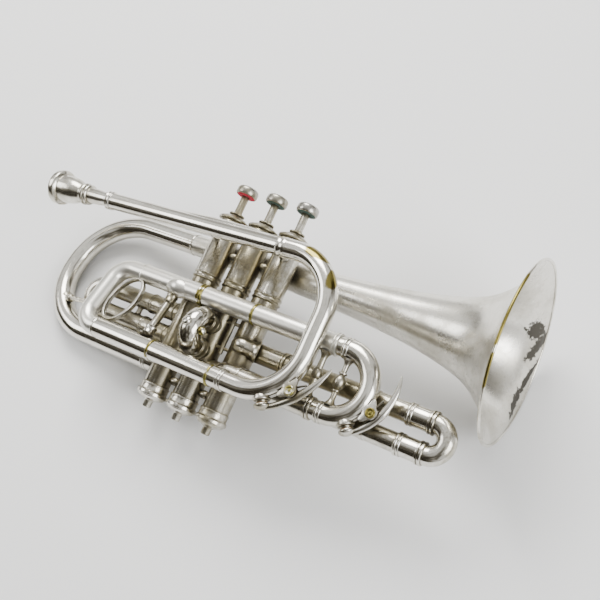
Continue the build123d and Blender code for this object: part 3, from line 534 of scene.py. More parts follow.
def soft_stuff(name, base, deep, scale, strength):
    """Felt or cork: a matt, mottled surface."""
    if name in bpy.data.materials:
        return bpy.data.materials[name]
    material, tree, shader, place = blank_material(name)
    grain = node(tree, "ShaderNodeTexNoise", links={"Vector": place},
                 values={"Scale": scale, "Detail": 8.0, "Roughness": 0.75}).outputs["Fac"]
    colour = mix_colour(tree, spread(tree, grain, 0.35, 0.65), (*base, 1), (*deep, 1))
    bump = node(tree, "ShaderNodeBump", values={"Strength": strength, "Distance": 0.0003},
                links={"Height": grain})
    tree.links.new(colour, shader.inputs["Base Color"])
    tree.links.new(bump.outputs["Normal"], shader.inputs["Normal"])
    shader.inputs["Roughness"].default_value = 0.92
    return material


def inlay():
    """The mottled grey shell let into the buttons."""
    name = "button_inlay"
    if name in bpy.data.materials:
        return bpy.data.materials[name]
    material, tree, shader, place = blank_material(name)
    swirl = node(tree, "ShaderNodeTexNoise", links={"Vector": place},
                 values={"Scale": 240.0, "Detail": 4.0, "Distortion": 1.6}).outputs["Fac"]
    colour = mix_colour(tree, spread(tree, swirl, 0.38, 0.64), (0.62, 0.64, 0.60, 1), (0.26, 0.28, 0.26, 1))
    tree.links.new(colour, shader.inputs["Base Color"])
    shader.inputs["Roughness"].default_value = 0.3
    shader.inputs["Coat Weight"].default_value = 0.5
    return material


def felt(number):
    if number == 0:
        return soft_stuff("red_felt", (0.42, 0.012, 0.03), (0.24, 0.005, 0.015), 1600.0, 0.8)
    return soft_stuff("dark_felt", (0.035, 0.06, 0.05), (0.012, 0.02, 0.018), 1600.0, 0.8)


def cork():
    return soft_stuff("key_cork", (0.40, 0.25, 0.13), (0.20, 0.11, 0.05), 900.0, 0.7)


# ---- pieces ------------------------------------------------------------------------------------
class CORNET_OT_leadpipe(bpy.types.Operator):
    """Mouthpiece receiver and tapered leadpipe, as far as the front bow"""

    bl_idname = "cornet.leadpipe"
    bl_label = "Leadpipe"

    def execute(self, context):
        run = PIPE_END - PIPE_START
        length = run.length
        pipe = Workpiece("leadpipe_and_receiver")
        pipe.add(turn_on_lathe(
            [(0, 4.5), (0, 5.9), (0.6, 6.6), (1.6, 6.7), (2.4, 6.1), (2.8, 6.1), (3.4, 6.7), (4.4, 6.6),
             (5.0, 5.9), (60.0, 5.7), (length - 6.3, 6.2), (length - 6.0, 6.5), (length - 5.2, 6.8),
             (length - 4.4, 6.5), (length - 2.4, 6.5), (length - 1.6, 6.8), (length - 0.8, 6.5),
             (length, 6.5), (length, 5.6), (60.0, 4.4), (21.0, 3.9)],
            PIPE_START, run, closed=True))
        middle = PIPE_START + run * (90.0 / run.length) + Vector((0, 2.2, -1.0))
        leaf = flowing([(-52, 0), (-34, 3.6), (0, 5.5), (36, 4.9), (56, 0)], 5)
        pipe.add(turn_on_lathe(leaf, middle, run, ease=0.0))
        strap = (PIPE_END - run.normalized() * 7.0 + Vector((0, 5.5, -1.0)), (9.0, 4.0, 6.0))
        pipe.set_in_place("horn", ["receiver", "leadpipe"], "silver_plate",
                          [plated("leadpipe_plate", film_and_shade=0.25, spots=[strap])])
        return {"FINISHED"}


class CORNET_OT_mouthpiece(bpy.types.Operator):
    """Cup mouthpiece with a ringed neck"""

    bl_idname = "cornet.mouthpiece"
    bl_label = "Mouthpiece"

    def execute(self, context):
        axis = PIPE_START - PIPE_END
        tip, rim = 49.0, 13.0
        cup = flowing([(24.6, 6.7), (27.0, 7.6), (31.0, 9.0), (36.0, 9.9), (40.0, 10.2), (42.6, 10.4)], 4)
        lip = flowing([(tip - 5.2, 12.2), (tip - 4.2, 12.9), (tip - 1.2, rim - 0.1), (tip - 0.3, 12.2),
                       (tip, 11.0), (tip - 0.25, 9.8), (tip - 1.4, 8.7), (tip - 3.4, 8.2), (38.0, 7.4),
                       (33.0, 5.2), (29.5, 2.6), (27.0, 1.9), (22.0, 1.9)], 4)
        outline = [(-20.0, 2.2), (-20.0, 4.25), (0.0, 4.6), (8.0, 5.4), (17.0, 5.7), (17.3, 6.6), (18.2, 7.4),
                   (19.0, 7.4), (19.6, 6.8), (20.0, 6.5), (20.5, 7.2), (21.4, 7.9), (22.4, 7.8), (23.0, 7.2),
                   (23.5, 6.8)] + cup + [(43.0, 11.4)] + lip
        shape = turn_on_lathe(outline, PIPE_START, axis, closed=True, facets=72, ease=0.0)
        Workpiece("cup_mouthpiece").add(shape).set_in_place(
            "mouthpiece", ["mouthpiece"], "silver_plate", [plated("mouthpiece_plate", film_and_shade=0.6, polish=0.16)],
            sharp=50)
        return {"FINISHED"}


class CORNET_OT_loop(bpy.types.Operator):
    """Front bow, lower tube, rear bow and the upper sleeve, which make the loop round the valves"""

    bl_idname = "cornet.loop"
    bl_label = "Loop"

    def execute(self, context):
        slope = (PIPE_END.y - PIPE_START.y) / (PIPE_END.x - PIPE_START.x)
        top_y = PIPE_END.y + (FRONT_BOW_X - PIPE_END.x) * slope
        bow = Workpiece("front_bow_tube")
        bow.add(bend_tube([PIPE_END, (FRONT_BOW_X, top_y, FRONT_Z), (FRONT_BOW_X, LOWER_Y, FRONT_Z),
                           (LOWER_ENDS_X[1], LOWER_Y, FRONT_Z)], FRONT_BEND, 6.5))
        leaf = ((66.5, 129.5, FRONT_Z + 3.5), (11.0, 4.6, 5.0))
        thread = ((82.0, 118.5, FRONT_Z + 3.0), (5.0, 9.0, 3.6))
        bow.set_in_place("horn", ["front_bow"], "silver_plate",
                         [plated("front_bow_plate", film_and_shade=0.22, spots=[leaf, thread])])

        lower = Workpiece("lower_tube_and_rings")
        lower.add(bend_tube([(LOWER_ENDS_X[0], LOWER_Y, FRONT_Z), (LOWER_ENDS_X[1], LOWER_Y, FRONT_Z)], 0,
                            6.75))
        for x, brass in ((-19.0, 1), (29.6, 1)):
            lower.add(band((x, LOWER_Y, FRONT_Z), (1, 0, 0), 6.75, 2.0, 0.7), brass)
        for x in (-68.4, 37.6, 39.8):
            lower.add(band((x, LOWER_Y, FRONT_Z), (1, 0, 0), 6.7, 1.5, 0.4))
        lower.set_in_place("horn", ["lower_tube"], "silver_plate",
                           [plated("lower_plate", film_and_shade=0.2), worn_brass()])

        rear = Workpiece("rear_bow_tube")
        rear.add(bend_tube([(UPPER_START_X, UPPER_Y, MIDDLE_Z), (REAR_BOW_X, UPPER_Y, MIDDLE_Z),
                            (REAR_BOW_X, LOWER_Y, FRONT_Z), (LOWER_ENDS_X[0], LOWER_Y, FRONT_Z)], 12.5, 6.4))
        rear.set_in_place("horn", ["rear_bow"], "silver_plate", [silver()])

        upper = Workpiece("upper_sleeve_and_rings")
        upper.add(bend_tube([(UPPER_START_X, UPPER_Y, MIDDLE_Z), (SLEEVE_END_X, UPPER_Y, MIDDLE_Z)], 0,
                            tubing().sleeve))
        for x, width, step, brass in ((-62.6, 1.2, 0.5, 0), (-11.6, 2.4, 0.9, 1), (-9.2, 2.0, 0.9, 1),
                                      (32.5, 2.2, 0.7, 1), (93.0, 1.7, 0.8, 0), (95.2, 1.7, 0.8, 0)):
            upper.add(band((x, UPPER_Y, MIDDLE_Z), (1, 0, 0), 6.68, width, step), brass)
        wing = flowing([(-15, 0), (-8, 4.6), (0, 7.2), (8, 4.6), (15, 0)], 4)
        upper.add(turn_on_lathe(wing, (-30.0, UPPER_Y - 1.2, MIDDLE_Z + 1.6), (1, 0, 0), ease=0.0))
        upper.set_in_place("horn", ["upper_sleeve"], "silver_plate", [silver(), worn_brass()])
        return {"FINISHED"}


class CORNET_OT_valves(bpy.types.Operator):
    """Casings with their double bands, caps, and the stems, buttons and felts that move"""

    bl_idname = "cornet.valves"
    bl_label = "Valves"

    def execute(self, context):
        for number, x in enumerate(VALVE_X):
            mark = f"_{number + 1}"
            self.casing(x, mark)
            self.caps(x, mark)
            self.button(x, mark, number)
        return {"FINISHED"}

    def casing(self, x, mark):
        casing = Workpiece("casing" + mark)
        casing.add(turn_on_lathe(
            [(12.0, 8.55), (12.0, 9.25), (95.2, 9.25), (95.6, 9.9), (96.4, 10.4), (97.2, 9.9), (97.5, 9.75),
             (98.6, 9.75), (98.9, 9.9), (99.7, 10.4), (100.4, 9.9), (100.8, 9.75), (141.0, 9.75),
             (141.0, 8.55)],
            (x, 0, 0), (0, 1, 0), closed=True, ease=0.12))
        casing.set_in_place("horn", ["valve_casing" + mark], "silver_plate",
                            [plated("casing_plate", film_and_shade=0.95, corners=0.95, polish=0.12, tone=0.9)])

    def caps(self, x, mark):
        top = Workpiece("top_cap_turned" + mark)
        top.add(turn_on_lathe(
            [(141.0, 2.9), (141.0, 9.6), (141.2, 10.9), (141.8, 11.3), (142.8, 11.3), (143.3, 10.8),
             (143.6, 9.6), (144.5, 8.4), (145.4, 6.6), (145.8, 5.6), (146.2, 5.0), (146.6, 4.8), (146.8, 5.5),
             (147.6, 5.7), (148.0, 5.2), (147.9, 4.2), (147.2, 3.9), (147.0, 2.9)],
            (x, 0, 0), (0, 1, 0), closed=True, ease=0.1))
        top.set_in_place("horn", ["top_cap" + mark], "silver_plate",
                         [plated("cap_plate", film_and_shade=1.0, polish=0.2, tone=0.92)])
        bottom = Workpiece("bottom_cap_turned" + mark)
        bottom.add(turn_on_lathe(
            [(0.0, 0.0), (0.0, 2.2), (0.35, 2.9), (0.9, 3.1), (4.4, 3.1), (5.0, 3.4), (5.6, 4.4), (6.2, 6.8),
             (6.9, 8.6), (7.8, 9.6), (8.4, 9.9), (8.5, 10.5), (9.0, 10.8), (10.8, 10.8), (11.3, 10.5),
             (11.4, 10.1), (12.2, 9.8), (15.4, 9.8), (15.7, 10.1), (16.5, 10.0), (16.6, 9.3), (14.0, 9.3),
             (12.0, 8.6), (8.5, 8.5), (7.4, 6.0), (6.8, 0.0)],
            (x, 0, 0), (0, 1, 0), ease=0.1))
        bottom.set_in_place("horn", ["bottom_cap" + mark], "silver_plate",
                            [plated("bottom_cap_plate", film_and_shade=0.95, polish=0.17, tone=0.95)])

    def button(self, x, mark, number):
        body = "valve" + mark
        stem = Workpiece("stem" + mark)
        stem.add(turn_on_lathe([(132.0, 0), (132.0, 2.8), (165.4, 2.8), (165.4, 0)],
                               (x, 0, 0), (0, 1, 0), facets=32))
        stem.set_in_place(body, ["valve_stem" + mark], "silver_plate",
                          [plated("stem_plate", film_and_shade=1.0, polish=0.2, tone=0.85)])
        button = Workpiece("button" + mark)
        button.add(turn_on_lathe(
            [(163.6, 2.85), (163.6, 6.7), (162.5, 6.7), (162.4, 7.1), (162.9, 7.5), (163.6, 7.8),
             (166.6, 7.8), (167.4, 7.6), (168.2, 7.0), (168.7, 6.2), (168.8, 5.8), (168.3, 5.5), (168.3, 0),
             (165.7, 0), (165.6, 2.85)],
            (x, 0, 0), (0, 1, 0), ease=0.12))
        button.add(turn_on_lathe([(168.2, 0), (168.2, 5.5), (168.5, 5.3), (168.72, 3.0), (168.8, 0)],
                                 (x, 0, 0), (0, 1, 0), ease=0.0), 1)
        button.set_in_place(body, ["finger_button" + mark], "button_metal",
                            [plated("button_plate", film_and_shade=0.75, polish=0.24, tone=0.5), inlay()])
        pad = Workpiece("felt_washer" + mark)
        pad.add(turn_on_lathe([(162.0, 2.85), (162.0, 6.1), (162.2, 6.4), (162.6, 6.6), (163.6, 6.6),
                               (163.6, 2.85)],
                              (x, 0, 0), (0, 1, 0), closed=True, ease=0.15))
        pad.set_in_place(body, ["button_felt" + mark], "red_felt" if number == 0 else "dark_felt",
                         [felt(number)])


class CORNET_OT_tuning_slide(bpy.types.Operator):
    """Main tuning slide with its brace, and the fixed lower sleeve and stay that it runs in"""

    bl_idname = "cornet.tuning_slide"
    bl_label = "Tuning slide"

    def execute(self, context):
        sizes = tubing()
        sleeve = Workpiece("tuning_sleeve_and_elbow")
        sleeve.add(bend_tube([(SLEEVE_END_X, TUNING_Y, MIDDLE_Z), (VALVE_X[2], TUNING_Y, MIDDLE_Z),
                              (VALVE_X[2], TUNING_Y, 4.0)], 7.2,
                             sizes.sleeve))
        for x, width in ((93.0, 1.7), (95.2, 1.7), (41.0, 1.8)):
            sleeve.add(band((x, TUNING_Y, MIDDLE_Z), (1, 0, 0), sizes.sleeve - 0.02, width, 0.8))
        sleeve.add(band((VALVE_X[2], TUNING_Y, 9.3), (0, 0, 1), sizes.sleeve, 1.6, 0.5))
        sleeve.set_in_place("horn", ["tuning_lower_sleeve"], "silver_plate",
                            [plated("elbow_plate", film_and_shade=0.5)])

        stay = Workpiece("sleeve_stay")
        top, low = Vector((89.0, UPPER_Y - 6.2, MIDDLE_Z)), Vector((89.0, TUNING_Y + 6.2, MIDDLE_Z))
        middle = (top - low).length / 2
        stay.add(post(top, low, 1.9, feet=(4.6, 4.6), foot_height=5.5, extras=bead(middle, 3.4, 1.9)))
        stay.set_in_place("horn", ["tuning_sleeve_stay"], "silver_plate", [brown_silver()])

        slide = Workpiece("tuning_slide_bow")
        centre_y = (UPPER_Y + TUNING_Y) / 2
        bend = (UPPER_Y - TUNING_Y) / 2
        end = TUNING_BOW_X + bend
        slide.add(bend_tube([(TUNING_BOW_X, UPPER_Y, MIDDLE_Z), (end, UPPER_Y, MIDDLE_Z),
                             (end, TUNING_Y, MIDDLE_Z), (TUNING_BOW_X, TUNING_Y, MIDDLE_Z)], bend - 0.001,
                             sizes.bow))
        for y in (UPPER_Y, TUNING_Y):
            slide.add(bend_tube([(60.0, y, MIDDLE_Z), (TUNING_BOW_X, y, MIDDLE_Z)], 0, sizes.slide))
            for x in (TUNING_BOW_X - 2.8, TUNING_BOW_X - 0.6):
                slide.add(band((x, y, MIDDLE_Z), (1, 0, 0), 6.3, 1.8, 0.65))
        slide.set_in_place("tuning_slide", ["tuning_slide"], "silver_plate",
                           [plated("tuning_plate", film_and_shade=0.35)])

        brace = Workpiece("tuning_brace_and_ball")
        x = TUNING_BOW_X + 1.5
        top, low = Vector((x, UPPER_Y - 6.0, MIDDLE_Z)), Vector((x, TUNING_Y + 6.0, MIDDLE_Z))
        ball = top.y - centre_y
        brace.add(post(top, low, 1.7, feet=(4.4, 4.4), foot_height=5.0,
                       extras=[(ball - 6.4, 1.7), (ball - 6.0, 2.7), (ball - 5.2, 2.7), (ball - 4.8, 1.9)]
                       + bead(ball, 4.0, 1.9)
                       + [(ball + 4.8, 1.9), (ball + 5.2, 2.7), (ball + 6.0, 2.7), (ball + 6.4, 1.7)]))
        brace.set_in_place("tuning_slide", ["tuning_brace"], "silver_plate", [brown_silver()])
        return {"FINISHED"}


def slide_bow(ys, start, turn_at, place, radius=None):
    """The U of a valve slide. place puts (distance out, y) into the playing frame."""
    gap = ys[0] - ys[1]
    end = turn_at + gap / 2
    return bend_tube([place(start, ys[0]), place(end, ys[0]), place(end, ys[1]), place(start, ys[1])],
                     gap / 2 - 0.001, radius or tubing().slide)


class CORNET_OT_valve_slides(bpy.types.Operator):
    """Sleeves and slides of the three valves"""

    bl_idname = "cornet.valve_slides"
    bl_label = "Valve slides"

    def execute(self, context):
        self.first()
        self.second()
        self.third()
        return {"FINISHED"}

    def sleeves(self, name, node_name, ys, place, axis, end, rings, extras=()):
        pair = Workpiece(name)
        for extra in extras:
            pair.add(extra)
        for y in ys:
            pair.add(stop_at_bores(bend_tube([place(6.0, y), place(end, y)], 0, tubing().sleeve), axis))
            for distance, width, step in rings:
                pair.add(band(place(distance, y), axis, tubing().sleeve - 0.02, width, step))
        pair.set_in_place("horn", [node_name], "silver_plate",
                          [plated("valve_sleeve_plate", film_and_shade=1.0, polish=0.15, tone=0.9)])

    def first(self):
        def place(distance, y):
            return (VALVE_X[0] - distance, y, 0.0)
        self.sleeves("first_sleeves", "first_slide_sleeves", FIRST_Y, place, (1, 0, 0), 32.5,
                     [(31.4, 1.3, 0.5), (29.6, 1.1, 0.4), (10.0, 1.6, 0.5)])
        slide = Workpiece("first_slide_bow")
        slide.add(slide_bow(FIRST_Y, 14.5, 77.0, place))
        slide.add(post((-66, FIRST_Y[0] - 5.8, 0), (-66, FIRST_Y[1] + 5.8, 0), 1.9, feet=(2.8, 2.8),
                       foot_height=1.6))
        for y in FIRST_Y:
            for distance in (73.6, 75.8):
                slide.add(band(place(distance, y), (1, 0, 0), 6.2, 1.6, 0.6))
        slide.set_in_place("first_slide", ["first_slide"], "silver_plate", [brown_silver()])

    def second(self):
        def place(distance, y):
            return (0.0, y, distance)
        self.sleeves("second_sleeves", "second_slide_sleeves", SECOND_Y, place, (0, 0, 1), 18.0,
                     [(17.2, 1.2, 0.5), (15.6, 1.1, 0.4), (10.3, 1.6, 0.5)])
        slide = Workpiece("second_slide_bow")
        for y in SECOND_Y:
            slide.add(bend_tube([place(9.8, y), place(19.6, y)], 0, 6.2))
            slide.add(band(place(18.75, y), (0, 0, 1), 6.2, 1.2, 0.6))
        slide.add(slide_bow(SECOND_Y, 19.4, 19.5, place, 7.9))
        middle = (SECOND_Y[0] + SECOND_Y[1]) / 2
        slide.add(turn_on_lathe(flowing([(0, 2.4), (1.2, 3.3), (3.0, 3.4), (4.4, 2.4), (4.9, 0)], 4),
                                (0.0, middle + 1.5, 33.4), (-0.3, 0.4, 1), facets=32, ease=0.0))
        knob = flowing([(0, 1.6), (3.9, 1.5), (4.6, 2.2), (5.6, 2.8), (6.8, 2.6), (7.8, 1.5), (8.1, 0)], 3)
        slide.add(turn_on_lathe(knob, (4.5, middle, 27.0), (1, 0, 0.6), facets=32, ease=0.0), 1)
        slide.set_in_place("second_slide", ["second_slide"], "silver_plate",
                           [plated("second_plate", film_and_shade=0.75, polish=0.07, tone=0.9), worn_brass()])

    def third(self):
        def place(distance, y):
            return (distance, y, THIRD_Z)
        self.sleeves("third_sleeves", "third_slide_sleeves", THIRD_Y,
                     lambda distance, y: (VALVE_X[2] + distance, y, THIRD_Z), (1, 0, 0), 35.5,
                     [(34.7, 1.6, 0.7), (32.6, 1.3, 0.6)], self.knuckle())
        slide = Workpiece("third_slide_bow")
        slide.add(slide_bow(THIRD_Y, 36.0, 166.0, place))
        for y in THIRD_Y:
            slide.add(bend_tube([place(148.0, y), place(166.0, y)], 0, 6.7))
            for x, radius, width, step in ((126.0, 6.2, 2.6, 0.5), (148.9, 6.68, 1.9, 0.7),
                                           (151.2, 6.68, 1.6, 0.6), (162.8, 6.68, 1.6, 0.8),
                                           (165.1, 6.68, 1.9, 0.9)):
                slide.add(band(place(x, y), (1, 0, 0), radius, width, step))
        slide.set_in_place("third_slide", ["third_slide"], "silver_plate",
                           [plated("third_plate", film_and_shade=0.9, polish=0.14, tone=0.95)])

    def knuckle(self):
        """The short elbow on the front of the third casing, with a flared collar."""
        corner = Vector((VALVE_X[2], THIRD_Y[0], 13.0))
        collar = Vector((38.5, THIRD_Y[0], 6.0))
        lean = (collar - corner).normalized()
        elbow = stop_at_bores(bend_tube([(VALVE_X[2], THIRD_Y[0], 3.0), corner, collar], 4.0, 5.6), (0, 0, 1))
        flare = [(-4.0, 5.5), (-2.2, 5.8), (-1.0, 6.6), (-0.2, 7.5), (0.6, 7.8), (1.2, 7.4), (1.2, 5.0)]
        return elbow, turn_on_lathe(flare, collar, lean, closed=True, ease=0.0)


class CORNET_OT_bell(bpy.types.Operator):
    """Bell, its rim wire and the rear crook"""

    bl_idname = "cornet.bell"
    bl_label = "Bell"

    def execute(self, context):
        flare = flowing([(-60.0, 7.7), (10.0, 9.3), (70.0, 12.5), (115.0, 17.0), (145.0, 22.6), (165.0, 29.6),
                         (180.0, 41.5), (187.2, 52.0), (189.6, 58.6)], 8)
        wall = 0.7
        outline = flare + [(x - wall * 0.25, radius - wall) if radius > 30 else (x, radius - wall)
                           for x, radius in reversed(flare)]
        bell = Workpiece("bell_flare")
        bell.add(turn_on_lathe(outline, (0, BELL_Y, BELL_Z), (1, 0, 0), closed=True, facets=144, ease=0.0))
        stains = [((185.0, 148.5, -61.0), (9.0, 6.0, 8.0)), ((187.5, 143.0, -70.0), (6.0, 15.0, 3.6)),
                  ((187.8, 118.0, -73.0), (6.0, 15.0, 1.9)), ((187.0, 102.0, -68.0), (6.0, 12.0, 2.4))]
        bell.set_in_place("horn", ["bell"], "silver_plate",
                          [plated("bell_plate", film_and_shade=0.42, polish=0.25, stains=stains)], sharp=60)

        wire = Workpiece("bell_rim_bead")
        angles = [2 * pi * step / 14 for step in range(14)]
        ring = [(sin(angle), 59.0 + cos(angle)) for angle in angles]
        wire.add(turn_on_lathe(ring, (189.4, BELL_Y, BELL_Z), (1, 0, 0), closed=True, facets=144, ease=0.0))
        rubbed = [((189.4, 132.0, 37.5), (4.0, 30.0, 9.0)), ((189.4, 96.0, 32.0), (4.0, 12.0, 9.0))]
        wire.set_in_place("horn", ["bell_rim_wire"], "silver_plate",
                          [plated("rim_plate", film_and_shade=0.5, polish=0.2, spots=rubbed)], sharp=60)

        crook = Workpiece("rear_crook")
        crook.add(bend_tube([(-60.0, BELL_Y, BELL_Z), (CROOK_X, BELL_Y, BELL_Z), (CROOK_X, CROOK_Y, CROOK_Z),
                             (-28.0, CROOK_Y, CROOK_Z)], 45.0, 7.7))
        for x, y, z in ((-61.2, BELL_Y, BELL_Z), (-41.2, CROOK_Y, CROOK_Z), (-43.4, CROOK_Y, CROOK_Z)):
            crook.add(band((x, y, z), (1, 0, 0), 7.7, 1.4, 0.4))
        crook.set_in_place("horn", ["bell_crook"], "silver_plate", [plated("crook_plate", film_and_shade=0.3)])
        return {"FINISHED"}


class CORNET_OT_fittings(bpy.types.Operator):
    """Finger ring, posts, stays, and the spacers between the casings"""

    bl_idname = "cornet.fittings"
    bl_label = "Fittings"

    def execute(self, context):
        self.finger_ring()
        self.stays()
        self.spacers()
        return {"FINISHED"}

    def finger_ring(self):
        top, low = Vector((-62.0, 78.4, 17.6)), Vector((-69.5, 42.4, 25.6))
        long_axis = (top - low).normalized()
        normal = long_axis.cross(Vector((-1, 0, 0))).normalized()
        across = normal.cross(long_axis)
        half, wide = (top - low).length / 2, 11.0
        band_thick, depth = 1.8, 4.0
        turn = Matrix((long_axis, across, normal)).transposed().to_4x4()
        bm = bmesh.new()
        bmesh.ops.create_circle(bm, segments=96, radius=1.0, cap_ends=False)
        bmesh.ops.scale(bm, vec=(half, wide, 1.0), verts=bm.verts)
        made = bmesh.ops.extrude_edge_only(bm, edges=bm.edges[:])["geom"]
        bmesh.ops.translate(bm, vec=(0, 0, depth), verts=kept(made, BMVert))
        bmesh.ops.recalc_face_normals(bm, faces=bm.faces)
        outward = sum(face.normal.dot(face.calc_center_median().xy.to_3d()) for face in bm.faces)
        bmesh.ops.solidify(bm, geom=bm.faces[:], thickness=band_thick if outward > 0 else -band_thick)
        bmesh.ops.recalc_face_normals(bm, faces=bm.faces)
        soften(bm, 0.4, sharp=50)
        bmesh.ops.translate(bm, vec=(0, 0, -depth / 2), verts=bm.verts)
        bmesh.ops.transform(bm, matrix=Matrix.Translation((top + low) / 2) @ turn, verts=bm.verts)
        Workpiece("oval_finger_ring").add(bm).set_in_place(
            "horn", ["finger_ring"], "silver_plate", [plated("ring_plate", film_and_shade=0.7, polish=0.18)], sharp=60)

    def stays(self):
        top, low = Vector((-32.0, UPPER_Y, MIDDLE_Z)), Vector((-30.0, LOWER_Y, FRONT_Z))
        run = (low - top).normalized()
        start, end = top + run * 6.2, low - run * 6.2
        length = (end - start).length
        collars = []
        for middle in (5.6, length - 5.6):
            collars += [(middle - 3.6, 2.8), (middle - 3.4, 3.8), (middle - 2.6, 4.3), (middle - 1.8, 3.8),
                        (middle + 1.8, 3.8), (middle + 2.6, 4.3), (middle + 3.4, 3.8), (middle + 3.6, 2.8)]
        post_piece = Workpiece("collared_post")
        post_piece.add(post(start, end, 2.8, feet=(4.8, 4.6), foot_height=2.0, extras=collars))
        post_piece.set_in_place("horn", ["loop_stay"], "silver_plate",
                                [plated("post_plate", film_and_shade=0.95, tone=0.9)], sharp=35)

        limb, crook = Vector((REAR_BOW_X, 50.0, 25.7)), Vector((-141.1, 48.6, -6.6))
        run = (crook - limb).normalized()
        start, end = limb + run * 5.8, crook - run * 7.1
        length = (end - start).length
        ball = length - 7.0
        long_stay = Workpiece("crook_stay")
        long_stay.add(post(start, end, 1.7, feet=(4.5, 4.5), foot_height=4.0,
                           extras=[(ball - 3.6, 1.7), (ball - 3.2, 2.2)] + bead(ball, 3.1, 1.9)
                           + [(ball + 3.2, 2.2)]))
        for x, side in ((VALVE_X[0], 8.7), (VALVE_X[2], 9.6)):
            long_stay.add(post((x, 122.0, -8.6), (x, 122.0, BELL_Z + side - 0.6), 4.4))
        long_stay.set_in_place("horn", ["bell_stays"], "silver_plate", [brown_silver()])

        pillars = Workpiece("leadpipe_posts")
        run = PIPE_END - PIPE_START
        for x in (VALVE_X[0], VALVE_X[2] + 3.0):
            y = PIPE_START.y + (x - PIPE_START.x) * run.y / run.x
            pillars.add(post((x, y, 8.6), (x, y, FRONT_Z - 5.2), 2.2, feet=(4.2, 4.2), foot_height=4.0))
        pillars.set_in_place("horn", ["leadpipe_stays"], "silver_plate", [brown_silver()])

    def spacers(self):
        spacers = Workpiece("casing_spacers")
        for left, right in zip(VALVE_X, VALVE_X[1:]):
            left, right = left + 3.0, right - 3.0
            middle, half = (left + right) / 2, (right - left) / 2
            rungs = [bend_tube([(left, TUNING_Y, 0), (right, TUNING_Y, 0)], 0, 6.1, facets=40)]
            for y, radius in ((23.5, 2.9), (118, 2.6)):
                rungs.append(post((left, y, 0), (right, y, 0), 1.8, extras=bead(half, radius, 1.9)))
            for y in (56, 74):
                rungs.append(post((left + 3, y, 4.5), (right - 3, y, 4.5), 1.2))
            for rung in rungs:
                spacers.add(stop_at_bores(rung, (1, 0, 0)))
            spacers.add(post((middle, 52, 4.5), (middle, 78, 4.5), 1.5))
        spacers.set_in_place("horn", ["valve_spacers"], "silver_plate", [brown_silver()])


class KeyPlan:
    """One water key, placed by angles round the bend of the tube that it sits on. Its name is its body's."""

    def __init__(self, name, carrier, bend, bend_radius, tube, z, cup_angle, pivot_angle, tip):
        self.name, self.carrier = name, carrier
        self.bend, self.bend_radius, self.tube, self.z = Vector(bend), bend_radius, tube, z
        self.cup_angle, self.pivot_angle, self.tip = cup_angle, pivot_angle, tip

    def outward(self, angle):
        return Vector((cos(radians(angle)), sin(radians(angle)), 0))

    def spot(self, angle, rise, side=0.0):
        reach = self.bend_radius + self.tube + rise
        return self.bend.to_3d() + self.outward(angle) * reach + Vector((0, 0, self.z + side))


def star_plate(reach, core, thickness, turns):
    """A thin plate with one pointed lobe at each of the turns, lying in a plane of constant z."""
    bm = bmesh.new()
    bmesh.ops.create_circle(bm, segments=96, radius=1.0, cap_ends=True)
    for vert in bm.verts:
        here = atan2(vert.co.y, vert.co.x)
        near = max(cos(here - turn) for turn in turns)
        vert.co *= core + (reach - core) * max(0.0, near) ** 14
    made = bmesh.ops.extrude_face_region(bm, geom=bm.faces[:])["geom"]
    bmesh.ops.translate(bm, vec=(0, 0, thickness), verts=kept(made, BMVert))
    bmesh.ops.recalc_face_normals(bm, faces=bm.faces)
    soften(bm, 0.25)
    return bm


def circle_through(first, second, third):
    """Centre of the round arc through three points in one plane of constant z."""
    a, b = second.xy - first.xy, third.xy - first.xy
    cross = 2 * (a.x * b.y - a.y * b.x)
    x = (b.y * a.length_squared - a.y * b.length_squared) / cross
    y = (a.x * b.length_squared - b.x * a.length_squared) / cross
    return Vector((first.x + x, first.y + y, first.z))


def curved_bar(first, second, third, width, thickness, taper):
    """A flat bar bent along the arc through three points. taper gives its width share along the arc."""
    centre = circle_through(first, second, third)
    arm, far = first - centre, third - centre
    angle = arm.xy.angle_signed(far.xy)
    through = arm.xy.angle_signed((second - centre).xy)
    if angle * through < 0:
        angle += 2 * pi if angle < 0 else -2 * pi
    bm = bmesh.new()
    bmesh.ops.create_circle(bm, segments=20, radius=0.5, cap_ends=False)
    bmesh.ops.scale(bm, vec=(thickness, width, 1.0), verts=bm.verts)
    out = arm.normalized()
    turn = Matrix((out, Vector((0, 0, 1)), out.cross(Vector((0, 0, 1))))).transposed().to_4x4()
    bmesh.ops.transform(bm, matrix=Matrix.Translation(first) @ turn, verts=bm.verts)
    bmesh.ops.spin(bm, geom=bm.edges[:], cent=centre, axis=(0, 0, -1), angle=angle, steps=24)
    bmesh.ops.remove_doubles(bm, verts=bm.verts, dist=0.0005)
    for vert in bm.verts:
        share = abs(arm.xy.angle_signed((vert.co - centre).xy, 0.0) / angle)
        grow = taper(min(1.0, share))
        vert.co.z = first.z + (vert.co.z - first.z) * grow
        ray = vert.co - centre
        ray.z = 0
        middle = ray.normalized() * arm.length
        lean = THIN_END + (1 - THIN_END) * grow
        vert.co.x, vert.co.y = (centre + middle + (ray - middle) * lean).xy
    bmesh.ops.holes_fill(bm, edges=[edge for edge in bm.edges if edge.is_boundary], sides=0)
    bmesh.ops.recalc_face_normals(bm, faces=bm.faces)
    return bm


